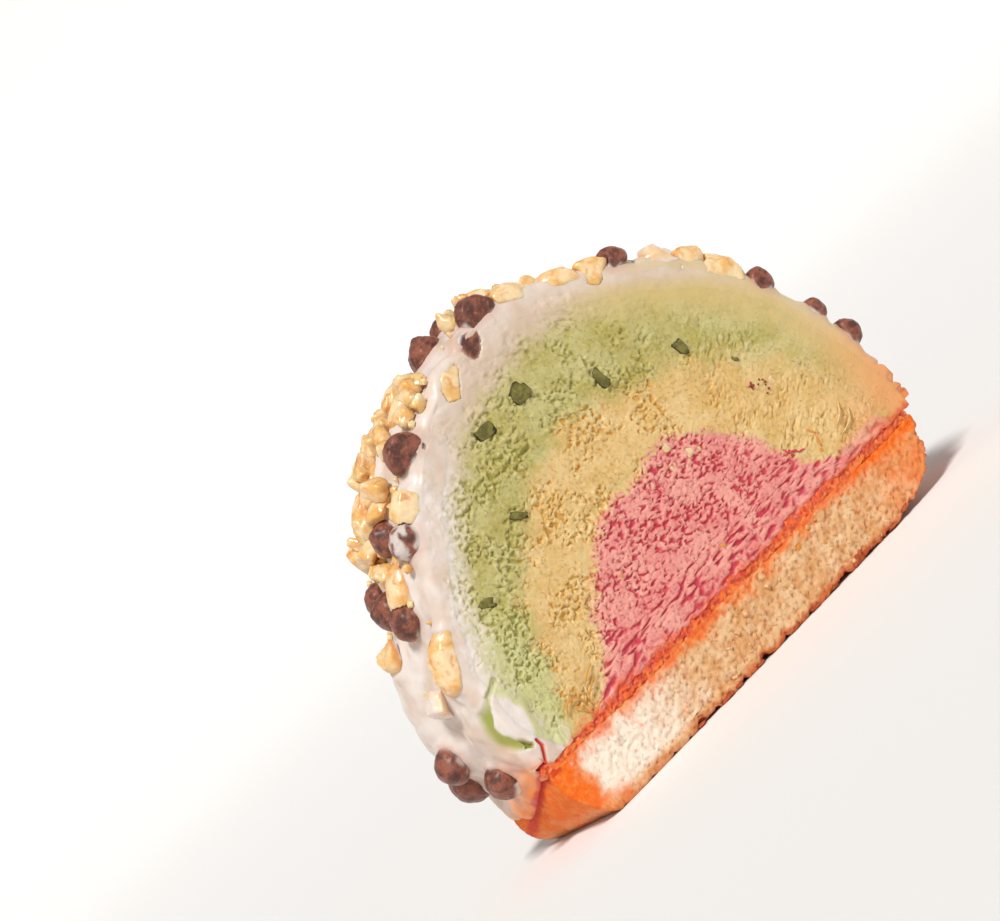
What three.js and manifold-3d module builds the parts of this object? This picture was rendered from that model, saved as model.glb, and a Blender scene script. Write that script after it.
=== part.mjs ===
// Cassata ice cream slice, in millimetres, with +Z up.
// The slice is cut across a long domed loaf. Strawberry, vanilla and pistachio ice cream lie over
// each other under a coat of whipped cream, on a line of red syrup and a base of sponge cake.
// Chocolate chips, peanut halves and chopped peanuts are pressed into the coat. The two cut faces
// look along -Y and +Y, and the slice stands on the underside of its sponge.

import * as THREE from 'three';
import { mergeVertices } from 'three/addons/utils/BufferGeometryUtils.js';
import Module from 'manifold-3d';

const wasm = await Module();
wasm.setup();

// Driving dimensions
const HALF_WIDTH = 50; // of the coat, just above its foot
const COAT_TOP = 74.1; // crest of the coat above the sponge's underside
const THICKNESS = 27; // between the two cut faces
const SPONGE_HEIGHT = 12.4;
const SYRUP_HEIGHT = 1.7;
const GAP = 0.3; // left between neighbouring pieces

// Derived heights
const SYRUP_TOP = SPONGE_HEIGHT + GAP + SYRUP_HEIGHT;
const BASE = SYRUP_TOP + GAP; // where every layer of ice cream starts

// Each layer is bounded by an arch from a left foot over a crest to a right foot. left and right are
// its reaches from the middle, top its crest, lean the crest's shift to the right, and footLeft and
// footRight how far each foot spreads at the base. wave is the height of its slow unevenness.
const COAT = {
  left: HALF_WIDTH - 0.7, right: HALF_WIDTH + 0.4, top: COAT_TOP, lean: -1,
  footLeft: -1.7, footRight: -1, wave: -0.9, phase: 4.7,
};
const PISTACHIO = {
  left: 46.6, right: 47.8, top: COAT_TOP - 5.9, lean: -0.5,
  footLeft: -5, footRight: 0.3, wave: -0.7, phase: 4,
};
const VANILLA = {
  left: 36.3, right: 41.6, top: 51.6, lean: -0.7,
  footLeft: 4.3, footRight: 1.5, wave: 1.2, phase: 0.9,
};
const STRAWBERRY = {
  left: 25.3, right: 25.2, top: 39.7, lean: -1.2,
  footLeft: 8.6, footRight: 11.5, wave: -0.7, phase: -0.2,
};
const FOOT_HEIGHT = 3; // over which a spread foot fades into the arch
const SPONGE = { left: -47.4, right: 46.8, underLeft: -42, underRight: 27 }; // reaches on top, below
const SYRUP = { left: -46.8, right: 46.2, settle: 0.6 }; // share of the waves that it fills
const DIP = { depth: 0.5, length: 5 }; // of the shallow waves along the top of the sponge
const COAT_SWELL = 0.035; // how much the coat swells halfway between the cut faces
const ARCH_STEPS = 45;
const CURVE_POINTS = 9; // along each curved end of the sponge
const WAVE_POINTS = 18; // along the top of the sponge
const COAT_STATIONS = 4;

// Toppings. Each row runs along the coat at its own depth, from the left foot over the crest to the
// right foot, with one letter for each place: C is a chocolate chip, c a small one, P a peanut
// half, p a chopped peanut, and a dot is bare cream. D and d are a chip and a chopped peanut that
// are pressed in deep.
const ROWS = [
  { depth: -11, places: '........P......C.p...C....d..D.C..P..P.p.C..p.p.P..c...c..c.....' },
  { depth: -4.4, places: 'C.....p....C.P..C.p.....P...C....p............p....p....C.......' },
  { depth: 3.4, places: '..C......p..C...p...P..p.......C...p...P....C.....P........C....' },
  { depth: 10.2, places: '.C...........C..p..p..p...P......p....C.......C...P..........C..' },
];
const CHIP = { radius: 3.4, height: 5.4 };
const SMALL_CHIP = 0.8; // size of a small chip beside a common one
const PEANUT = { length: 11.6, width: 7.2, height: 4 };
const CHIP_SIDES = 8;
const WAIST = 0.12; // share by which a peanut narrows in the middle
const GROOVE = { depth: 0.1, width: 0.25 }; // in shares of a peanut's height and half width
const FACE_DEPTH = 0.12; // of a peanut half's flat face under its widest line, as a share
const BREAK = { near: 1.6, far: 3.8, tip: 0.5, turn: 0.7 }; // distances and turns of a break
const SINK = 0.28; // share of a topping's height that lies in the coat
const DEEPER = 3.3; // how much further in a deep one lies
const SIZE_SPREAD = 0.14; // share by which toppings differ in size
const SPIN = 0.6; // most that a topping is turned on the coat, in radians
const STRAY = { along: 0.2, across: 0.8 }; // from its place: shares of a place, and millimetres
const EDGE_BAND = 3; // toppings this close to a cut face are set into the coat and cut with it
const MATERIALS = {
  strawberry: { color: 0xe58a86, roughness: 0.5 },
  vanilla: { color: 0xe3ba7e, roughness: 0.5 },
  pistachio: { color: 0xbdb66c, roughness: 0.5 },
  cream: { color: 0xf1e4d6, roughness: 0.4 },
  syrup: { color: 0xd8552f, roughness: 0.25 },
  sponge: { color: 0xe0ad76, roughness: 0.9 },
  chip: { color: 0x6b3a2c, roughness: 0.45 },
  peanut: { color: 0xeab773, roughness: 0.4 },
};

// Solids

function solid(geometry) {
  const bare = geometry.clone();
  bare.deleteAttribute('normal');
  bare.deleteAttribute('uv');
  const merged = mergeVertices(bare, 1e-4);
  const vertProperties = new Float32Array(merged.attributes.position.array);
  const triVerts = new Uint32Array(merged.index.array);
  return new wasm.Manifold(new wasm.Mesh({ numProp: 3, vertProperties, triVerts }));
}

function geometryOf(body) {
  const cut = body.getMesh();
  const geometry = new THREE.BufferGeometry();
  geometry.setAttribute('position', new THREE.BufferAttribute(cut.vertProperties, 3));
  geometry.setIndex(new THREE.BufferAttribute(cut.triVerts, 1));
  return geometry;
}

// A cut can leave crumbs beside the piece itself.
function largest(body) {
  return body.decompose().reduce((best, piece) => (piece.volume() > best.volume() ? piece : best));
}

// Layers

function archPoint(layer, t) {
  const angle = Math.PI * t;
  const onLeft = t < 0.5;
  const rise = Math.sin(angle);
  const height = (layer.top - BASE) * rise;
  const spread = Math.exp(-height / FOOT_HEIGHT) * (onLeft ? -layer.footLeft : layer.footRight);
  const x = layer.lean * rise + spread - (onLeft ? layer.left : layer.right) * Math.cos(angle);
  const unevenness = Math.sin(5 * angle + layer.phase) + 0.6 * Math.sin(9 * angle + 2 * layer.phase);
  const scale = 1 + (layer.wave * rise * unevenness) / Math.hypot(x, height);
  return new THREE.Vector2(x * scale, BASE + height * scale);
}

// The arch moved outwards by grow, square to itself.
function arch(layer, grow = 0) {
  const points = [];
  for (let i = 0; i <= ARCH_STEPS; i += 1) {
    points.push(archPoint(layer, i / ARCH_STEPS));
  }
  return points.map((point, i) => {
    const before = points[Math.max(i - 1, 0)];
    const after = points[Math.min(i + 1, ARCH_STEPS)];
    const along = after.clone().sub(before).normalize();
    const isFoot = i === 0 || i === ARCH_STEPS;
    const height = isFoot ? BASE : Math.max(point.y + along.x * grow, BASE);
    return new THREE.Vector2(point.x - along.y * grow, height);
  });
}

// An outline in the XZ plane, run along Y between the cut faces, and past them by extra.
function run(outline, steps = 1, extra = 0) {
  const depth = THICKNESS + 2 * extra;
  const shape = new THREE.Shape(outline);
  const geometry = new THREE.ExtrudeGeometry(shape, { depth, steps, bevelEnabled: false });
  geometry.rotateX(Math.PI / 2);
  geometry.translate(0, depth / 2, 0);
  return geometry;
}

// The coat's outer form is fuller halfway between the cut faces than at them.
function swell(geometry) {
  const position = geometry.attributes.position;
  for (let i = 0; i < position.count; i += 1) {
    const fromMiddle = (2 * position.getY(i)) / THICKNESS;
    const scale = 1 + COAT_SWELL * Math.max(1 - fromMiddle ** 2, 0);
    position.setX(i, position.getX(i) * scale);
    position.setZ(i, BASE + (position.getZ(i) - BASE) * scale);
  }
  return geometry;
}

// What a layer is cut away from: everything under its arch, down past the base.
function hollow(layer, grow = GAP) {
  const extra = 5;
  const points = arch(layer, grow);
  const left = points[0].x;
  const right = points[ARCH_STEPS].x;
  points.unshift(new THREE.Vector2(left, BASE - extra));
  points.push(new THREE.Vector2(right, BASE - extra));
  return solid(run(points, 1, extra));
}

// How far the top of the sponge lies under its full height.
function dip(x) {
  return (DIP.depth / 2) * (1 + Math.sin(x / DIP.length));
}

// The left end bulges over its foot, and the right end slopes out of the underside.
function sponge() {
  const top = SPONGE_HEIGHT;
  const { left, right, underLeft, underRight } = SPONGE;
  const shape = new THREE.Path();
  shape.moveTo(left, top);
  shape.bezierCurveTo(left - 1.2, top - 4, left + 0.9, top - 9, underLeft, 0);
  shape.lineTo(underRight, 0);
  shape.bezierCurveTo(underRight + 11, 0.4, right - 1.3, 2.5, right, top);
  const points = shape.getPoints(CURVE_POINTS);
  for (let i = 1; i < WAVE_POINTS; i += 1) {
    const x = THREE.MathUtils.lerp(right, left, i / WAVE_POINTS);
    points.push(new THREE.Vector2(x, top - dip(x)));
  }
  return run(points);
}

function syrup() {
  const low = [];
  const high = [];
  for (let i = 0; i <= WAVE_POINTS; i += 1) {
    const x = THREE.MathUtils.lerp(SYRUP.left, SYRUP.right, i / WAVE_POINTS);
    const lift = SYRUP.settle * (DIP.depth - dip(x));
    low.push(new THREE.Vector2(x, SPONGE_HEIGHT + GAP + lift));
    high.unshift(new THREE.Vector2(x, SYRUP_TOP));
  }
  return run([...low, ...high]);
}

// Toppings, each modelled about its own middle with its outward side up

function seeded(seed) {
  let state = seed;
  return (low, high) => {
    state = (state * 1664525 + 1013904223) % 4294967296;
    return low + ((high - low) * state) / 4294967296;
  };
}
const random = seeded(71);

// A drop of chocolate: a flat base, round sides and a blunt tip.
function chip() {
  const { radius, height } = CHIP;
  const profile = [[0, 0], [0.88, 0], [1, 0.25], [0.8, 0.62], [0.3, 0.88], [0, 1]]; // in shares
  const points = profile.map(([across, up]) => new THREE.Vector2(across * radius, up * height));
  const geometry = new THREE.LatheGeometry(points, CHIP_SIDES);
  geometry.rotateX(Math.PI / 2);
  geometry.translate(0, 0, -height / 2);
  return geometry;
}

// Half a peanut: a domed back over a flat face with a shallow groove along it.
function peanutHalf(around = 10, along = 6) {
  const geometry = new THREE.SphereGeometry(1, around, along);
  geometry.rotateX(Math.PI / 2);
  const position = geometry.attributes.position;
  for (let i = 0; i < position.count; i += 1) {
    const x = position.getX(i);
    const y = position.getY(i);
    const z = position.getZ(i);
    const waist = 1 - WAIST * Math.cos(Math.PI * x) * Math.abs(y);
    const groove = GROOVE.depth * Math.exp(-((y / GROOVE.width) ** 2)) * (1 - x * x);
    const height = z > -0.05 ? z : groove - FACE_DEPTH;
    position.setXYZ(
      i,
      (x * PEANUT.length) / 2,
      (y * waist * PEANUT.width) / 2,
      (height - 0.5) * PEANUT.height,
    );
  }
  return geometry;
}

// A piece broken off a peanut half along two flat breaks.
function peanutChunk() {
  const size = 2 * PEANUT.length;
  let body = solid(peanutHalf(8, 5));
  for (const side of [1, -1]) {
    const block = new THREE.BoxGeometry(size, size, size);
    block.translate(side * (size / 2 + random(BREAK.near, BREAK.far)), 0, 0);
    block.rotateY(random(-BREAK.tip, BREAK.tip));
    block.rotateZ(random(-BREAK.turn, BREAK.turn));
    body = body.subtract(solid(block));
  }
  const geometry = geometryOf(largest(body));
  geometry.center();
  return geometry;
}

const KINDS = {
  C: { name: 'choc_chip', make: chip, tilt: 0.8, size: CHIP.height, scale: 1 },
  D: { name: 'choc_chip', make: chip, tilt: 0.8, size: CHIP.height, scale: 1, deeper: DEEPER },
  c: { name: 'choc_chip', make: chip, tilt: 0.8, size: CHIP.height, scale: SMALL_CHIP },
  P: { name: 'peanut_half', make: peanutHalf, tilt: 0.4, size: PEANUT.height, scale: 1 },
  p: { name: 'peanut_chunk', make: peanutChunk, tilt: 0.9, size: PEANUT.height, scale: 1 },
  d: {
    name: 'peanut_chunk', make: peanutChunk, tilt: 0.9, size: PEANUT.height, scale: 1, deeper: DEEPER,
  },
};

// Where a topping lies: its Z axis out of the coat, its X axis along the coat.
function pose(line, share, depth, kind) {
  const foot = line.getPointAt(share);
  const along = line.getTangentAt(share);
  const out = new THREE.Vector3(-along.y, 0, along.x);
  const swollen = 1 + COAT_SWELL * Math.max(1 - ((2 * depth) / THICKNESS) ** 2, 0);
  const place = new THREE.Vector3(foot.x * swollen, depth, BASE + (foot.y - BASE) * swollen);
  place.addScaledVector(out, kind.size * (0.5 - SINK) - (kind.deeper ?? 0));
  const matrix = new THREE.Matrix4().makeBasis(
    new THREE.Vector3(along.x, 0, along.y),
    new THREE.Vector3(0, 1, 0),
    out,
  );
  const { tilt } = kind;
  const spin = random(-SPIN, SPIN);
  const turn = new THREE.Euler(random(-tilt, tilt), random(-tilt, tilt), spin, 'ZYX');
  matrix.multiply(new THREE.Matrix4().makeRotationFromEuler(turn));
  const scale = kind.scale * (1 + random(-SIZE_SPREAD, SIZE_SPREAD));
  matrix.scale(new THREE.Vector3(scale, scale, scale));
  matrix.setPosition(place);
  return matrix;
}

// Presses every topping in turn, clear of those before it. One near a cut face is set into the coat
// and cut with the slice, and any other lies on the coat.
function pressToppings(coat) {
  const line = new THREE.SplineCurve(arch(COAT));
  const between = solid(run([
    new THREE.Vector2(-2 * HALF_WIDTH, BASE - SYRUP_HEIGHT),
    new THREE.Vector2(2 * HALF_WIDTH, BASE - SYRUP_HEIGHT),
    new THREE.Vector2(2 * HALF_WIDTH, 2 * COAT_TOP),
    new THREE.Vector2(-2 * HALF_WIDTH, 2 * COAT_TOP),
  ]));
  const coatClear = solid(swell(run(arch(COAT, GAP), COAT_STATIONS)));
  const pistachioClear = hollow(PISTACHIO, 2 * GAP);
  const pressed = [];
  let cutCoat = coat;
  for (const { depth, places } of ROWS) {
    [...places].forEach((letter, i) => {
      if (letter === '.') {
        return;
      }
      const kind = KINDS[letter];
      const share = (i + 0.5 + random(-STRAY.along, STRAY.along)) / places.length;
      const matrix = pose(line, share, depth + random(-STRAY.across, STRAY.across), kind);
      const shape = kind.make();
      const full = solid(shape.clone().applyMatrix4(matrix));
      const growth = 1 + (2 * GAP) / kind.size;
      const grown = shape.clone().scale(growth, growth, growth).applyMatrix4(matrix);
      grown.computeBoundingBox();
      const clear = solid(grown);
      let body = full.intersect(between).subtract(pistachioClear);
      for (const earlier of pressed) {
        if (grown.boundingBox.intersectsBox(earlier.box)) {
          body = body.subtract(earlier.clear);
        }
      }
      const atEdge = THICKNESS / 2 - Math.abs(depth) < EDGE_BAND;
      if (atEdge) {
        cutCoat = cutCoat.subtract(clear);
      } else {
        body = body.subtract(coatClear);
      }
      pressed.push({ kind, body: largest(body), box: grown.boundingBox, clear });
    });
  }
  return { coat: largest(cutCoat), pressed };
}

// The slice

function piece(name, geometry, { color, roughness }) {
  const material = new THREE.MeshStandardMaterial({ color, roughness, metalness: 0 });
  const mesh = new THREE.Mesh(geometry, material);
  mesh.name = name;
  return mesh;
}

function slice() {
  const group = new THREE.Group();
  const outerCoat = solid(swell(run(arch(COAT), COAT_STATIONS)));
  const { coat, pressed } = pressToppings(outerCoat.subtract(hollow(PISTACHIO)));
  const pistachio = solid(run(arch(PISTACHIO))).subtract(hollow(VANILLA));
  const vanilla = solid(run(arch(VANILLA))).subtract(hollow(STRAWBERRY));

  group.add(
    piece('sponge_base', sponge(), MATERIALS.sponge),
    piece('syrup_layer', syrup(), MATERIALS.syrup),
    piece('strawberry_core', run(arch(STRAWBERRY)), MATERIALS.strawberry),
    piece('vanilla_layer', geometryOf(vanilla), MATERIALS.vanilla),
    piece('pistachio_layer', geometryOf(pistachio), MATERIALS.pistachio),
    piece('cream_coat', geometryOf(coat), MATERIALS.cream),
  );
  const counts = {};
  for (const { kind, body } of pressed) {
    counts[kind.name] = (counts[kind.name] ?? 0) + 1;
    const name = `${kind.name}_${String(counts[kind.name]).padStart(2, '0')}`;
    const material = kind.name === 'choc_chip' ? MATERIALS.chip : MATERIALS.peanut;
    group.add(piece(name, geometryOf(body), material));
  }

  // The origin is the middle of the underside.
  const box = new THREE.Box3().setFromObject(group);
  const middle = box.getCenter(new THREE.Vector3());
  group.position.set(-middle.x, -middle.y, -box.min.z);
  group.updateMatrixWorld(true);
  return group;
}

export default slice();
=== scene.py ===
# Looks of the cassata slice. Lengths are in millimetres here and become metres as meshes are made.
# The cut faces look along -Y (front) and +Y (rear). Round the dome, places are given by an angle
# about the middle of its base, from the right foot over the crest to the left foot.

import itertools
import math
import random

import bmesh
import bpy
import numpy as np
from mathutils import Euler, Matrix, Vector
from mathutils.bvhtree import BVHTree
from mathutils.kdtree import KDTree


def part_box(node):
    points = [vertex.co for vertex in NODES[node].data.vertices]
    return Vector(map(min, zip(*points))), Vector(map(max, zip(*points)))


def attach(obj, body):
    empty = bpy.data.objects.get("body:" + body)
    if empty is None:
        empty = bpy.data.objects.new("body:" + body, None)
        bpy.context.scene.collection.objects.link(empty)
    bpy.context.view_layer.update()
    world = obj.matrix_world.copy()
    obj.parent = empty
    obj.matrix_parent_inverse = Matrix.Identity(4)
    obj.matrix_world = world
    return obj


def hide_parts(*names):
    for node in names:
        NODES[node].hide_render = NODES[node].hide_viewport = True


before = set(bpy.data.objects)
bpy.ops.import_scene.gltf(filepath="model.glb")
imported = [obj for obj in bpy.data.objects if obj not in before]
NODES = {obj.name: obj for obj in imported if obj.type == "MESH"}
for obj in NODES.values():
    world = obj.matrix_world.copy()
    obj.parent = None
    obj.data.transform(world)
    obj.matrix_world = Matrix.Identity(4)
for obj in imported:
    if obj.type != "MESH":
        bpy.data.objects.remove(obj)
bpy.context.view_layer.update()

MM = 0.001
SPACING = 0.165  # between points on the front cut face
REAR_SPACING = 0.5
SPANS = 784  # round the dome on the front face, and half as many elsewhere
OUTER_STEP = 0.36  # along the coat, from face to face

CHIPS = sorted(name for name in NODES if name.startswith("choc_chip"))
HALVES = sorted(name for name in NODES if name.startswith("peanut_half"))
CHUNKS = sorted(name for name in NODES if name.startswith("peanut_chunk"))


# Sizes read from the frame

def corners(node):
    low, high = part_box(node)
    return np.array(low) / MM, np.array(high) / MM


def search_tree(node):
    mesh = NODES[node].data
    points = [vertex.co / MM for vertex in mesh.vertices]
    return BVHTree.FromPolygons(points, [tuple(face.vertices) for face in mesh.polygons])


SPONGE_LOW, SPONGE_HIGH = corners("sponge_base")
COAT_LOW, COAT_HIGH = corners("cream_coat")
BASE = float(COAT_LOW[2])
AXIS_X = float(COAT_LOW[0] + COAT_HIGH[0]) / 2
FACE = float(SPONGE_HIGH[1])  # the cut faces lie at -FACE and +FACE
SPONGE_TOP = float(SPONGE_HIGH[2])
HALF_GAP = 0.15  # neighbouring CAD pieces stand twice this apart
FAR = 200.0


# Noise

HASH_FACTORS = (374761393, 668265263, 1442695041)
MASK = np.uint64(0xFFFFFFFF)


def scatter(cells, seed):
    """A repeatable random number from 0 to 1 for each row of whole numbers."""
    mixed = np.full(len(cells), (seed * 974634777) & 0xFFFFFFFF, np.uint64)
    for column, factor in zip(cells.T, HASH_FACTORS):
        mixed = (mixed + column.astype(np.uint64) * np.uint64(factor)) & MASK
        mixed ^= mixed >> np.uint64(15)
        mixed = (mixed * np.uint64(2246822519)) & MASK
        mixed ^= mixed >> np.uint64(13)
    mixed = (mixed * np.uint64(3266489917)) & MASK
    mixed ^= mixed >> np.uint64(16)
    return mixed.astype(float) / 4294967295.0


def noise(points, size, seed):
    """Smooth noise, mostly from -1 to 1, whose humps are about size wide."""
    place = points / size
    cell = np.floor(place).astype(np.int64)
    part = place - cell
    fade = part ** 3 * (part * (6 * part - 15) + 10)
    total = np.zeros(len(points))
    for corner in itertools.product((0, 1), repeat=points.shape[1]):
        corner = np.array(corner)
        share = np.prod(np.where(corner, fade, 1 - fade), axis=1)
        slope = np.stack(
            [scatter(cell + corner, seed + 57 * k) for k in range(points.shape[1])], axis=1
        )
        total += share * np.sum((2 * slope - 1) * (part - corner), axis=1)
    return 1.9 * total


def layered(points, size, octaves, seed):
    """Noise with finer noise on it."""
    total = np.zeros(len(points))
    strength = 1.0
    for octave in range(octaves):
        shift = 17.3 * octave
        total += strength * noise(points + shift, size / 2 ** octave, seed + 7 * octave)
        strength *= 0.5
    return total


def warped(points, size, amount, seed):
    """The points moved about by noise, so that patterns on them lose their regular look."""
    moves = [noise(points, size, seed + 11 * k) for k in range(points.shape[1])]
    return points + amount * np.stack(moves, axis=1)


def step(value, low, high):
    """0 below low, 1 above high, and a smooth step between."""
    share = np.clip((value - low) / (high - low), 0, 1)
    return share * share * (3 - 2 * share)


def fall(value, low, high):
    """1 below low, 0 above high, and a smooth step between."""
    return 1 - step(value, low, high)


def band(value, start, full, still_full, end):
    """1 from full to still_full, and 0 before start and after end."""
    return step(value, start, full) * fall(value, still_full, end)


def blend(share, first, second):
    """first where the share is 0, second where it is 1."""
    return first + (second - first) * share


def lumps(points, size, seed):
    """Uneven noise whose hills and hollows are about size wide."""
    return layered(warped(points, 1.2 * size, 0.35 * size, seed + 3), size, 2, seed)


def flaked(hills, level):
    """1 on the hills that stand over a level, and 0 in the hollows between them."""
    return step(hills, level - 0.3, level + 0.35)


# Meshes

CREASE = math.radians(75)  # sharper edges than this are shaded as edges


def grid_faces(numbers):
    """Faces over a grid of point numbers."""
    low, high = numbers[:-1], numbers[1:]
    return np.stack([low[:, :-1], low[:, 1:], high[:, 1:], high[:, :-1]], -1).reshape(-1, 4)


def wrapped(numbers):
    """The grid with its first column again at the end, so that its rows close into rings."""
    return np.concatenate([numbers, numbers[:, :1]], 1)


class Shell:
    """Points, faces and marks collected for one mesh. A mark is a number at each point that the
    material reads."""

    def __init__(self):
        self.points = []
        self.marks = []
        self.faces = []
        self.count = 0

    def add(self, points, marks=None):
        """Adds points and returns their numbers, in the same rows and columns."""
        shape = points.shape[:-1]
        size = int(np.prod(shape))
        self.points.append(points.reshape(size, 3))
        self.marks.append({k: np.broadcast_to(v, shape).ravel() for k, v in (marks or {}).items()})
        self.count += size
        return np.arange(self.count - size, self.count).reshape(shape)

    def skin(self, numbers):
        """Faces over a grid of points that were added."""
        self.faces.append(grid_faces(numbers))

    def halved(self, fine, coarse):
        """Faces between a ring and one inside it with half as many spans."""
        first, middle, last = fine[:-1:2], fine[1::2], fine[2::2]
        near, far = coarse[:-1], coarse[1:]
        for triangles in ((near, first, middle), (near, middle, far), (far, middle, last)):
            self.faces.append(np.stack(triangles, -1))

    def fan(self, loop, middle):
        """Closes a loop of points with triangles round a middle point."""
        centre = self.add(np.array([middle], float))[0]
        self.faces.append(np.stack([loop, np.roll(loop, -1), np.full(len(loop), centre)], -1))

    def mesh(self, name):
        mesh = mesh_of(name, np.concatenate(self.points), self.faces)
        for key in sorted({key for marks in self.marks for key in marks}):
            values = [
                marks.get(key, np.zeros(len(points)))
                for marks, points in zip(self.marks, self.points)
            ]
            attribute = mesh.attributes.new(key, "FLOAT", "POINT")
            attribute.data.foreach_set("value", np.concatenate(values).astype(np.float32))
        return mesh


def mesh_of(name, points, faces):
    """A mesh from points and arrays of faces, a row of point numbers for each face."""
    mesh = bpy.data.meshes.new(name)
    mesh.vertices.add(len(points))
    mesh.vertices.foreach_set("co", (points * MM).astype(np.float32).ravel())
    face_corners = np.concatenate([part.ravel() for part in faces]).astype(np.int32)
    sizes = np.concatenate([np.full(len(part), part.shape[1]) for part in faces])
    mesh.loops.add(len(face_corners))
    mesh.loops.foreach_set("vertex_index", face_corners)
    mesh.polygons.add(len(sizes))
    starts = np.concatenate([[0], np.cumsum(sizes)[:-1]]).astype(np.int32)
    mesh.polygons.foreach_set("loop_start", starts)
    mesh.update(calc_edges=True)
    mesh.validate()
    return mesh


def points_of(mesh):
    points = np.empty(len(mesh.vertices) * 3, np.float32)
    mesh.vertices.foreach_get("co", points)
    return points.reshape(-1, 3).astype(float) / MM


def normals_of(mesh):
    normals = np.empty(len(mesh.vertices) * 3, np.float32)
    mesh.vertices.foreach_get("normal", normals)
    return normals.reshape(-1, 3).astype(float)


def placed(name, mesh, look):
    """The mesh as a new object in the scene, shaded smooth."""
    mesh.materials.append(look)
    mesh.polygons.foreach_set("use_smooth", np.ones(len(mesh.polygons), bool))
    thing = bpy.data.objects.new(name, mesh)
    bpy.context.scene.collection.objects.link(thing)
    return thing


def show(name, mesh, look, nodes=()):
    """Puts a mesh in the scene as a finished piece of the slice."""
    piece = placed(name, mesh, look)
    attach(piece, "root")
    if nodes:
        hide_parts(*nodes)
    return piece


def closed(shell, name, look, node, sharp=True):
    """Shows a shell as the piece that stands for a CAD node, in the slot of the same name."""
    mesh = shell.mesh(name)
    work = bmesh.new()
    work.from_mesh(mesh)
    bmesh.ops.recalc_face_normals(work, faces=work.faces)
    work.to_mesh(mesh)
    work.free()
    if sharp:
        mesh.set_sharp_from_angle(angle=CREASE)
    return show(name, mesh, look, [node])


def joined(name, parts, look, nodes=()):
    """Shows one piece of many parts, each given by its points, arrays of its faces and its marks."""
    shell = Shell()
    for points, faces, marks in parts:
        numbers = shell.add(points, marks)
        shell.faces += [numbers[array] for array in faces]
    return show(name, shell.mesh(name), look, nodes)


def rounded_copy(node, voxel, passes):
    """Points, normals and arrays of faces of the CAD node's shape as an even mesh of small faces,
    smoothed a little."""
    source = bpy.data.objects.new("rounding", NODES[node].data.copy())
    bpy.context.scene.collection.objects.link(source)
    remesh = source.modifiers.new("remesh", "REMESH")
    remesh.mode = "VOXEL"
    remesh.voxel_size = voxel * MM
    smooth = source.modifiers.new("smooth", "SMOOTH")
    smooth.factor = 0.5
    smooth.iterations = passes
    evaluated = source.evaluated_get(bpy.context.evaluated_depsgraph_get())
    mesh = bpy.data.meshes.new_from_object(evaluated)

    sizes = np.empty(len(mesh.polygons), np.int32)
    mesh.polygons.foreach_get("loop_total", sizes)
    order = np.empty(len(mesh.loops), np.int32)
    mesh.loops.foreach_get("vertex_index", order)
    starts = np.cumsum(sizes) - sizes
    faces = [order[starts[sizes == size][:, None] + np.arange(size)] for size in (3, 4)]
    copied = points_of(mesh), normals_of(mesh), faces
    source_mesh = source.data
    bpy.data.objects.remove(source)
    bpy.data.meshes.remove(source_mesh)
    bpy.data.meshes.remove(mesh)
    return copied


# Materials

def linear(red, green, blue):
    """A colour given as it looks on a screen, from 0 to 255, for a shader."""
    parts = [c / 255 for c in (red, green, blue)]
    return tuple(c / 12.92 if c <= 0.04045 else ((c + 0.055) / 1.055) ** 2.4 for c in parts) + (1,)


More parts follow.
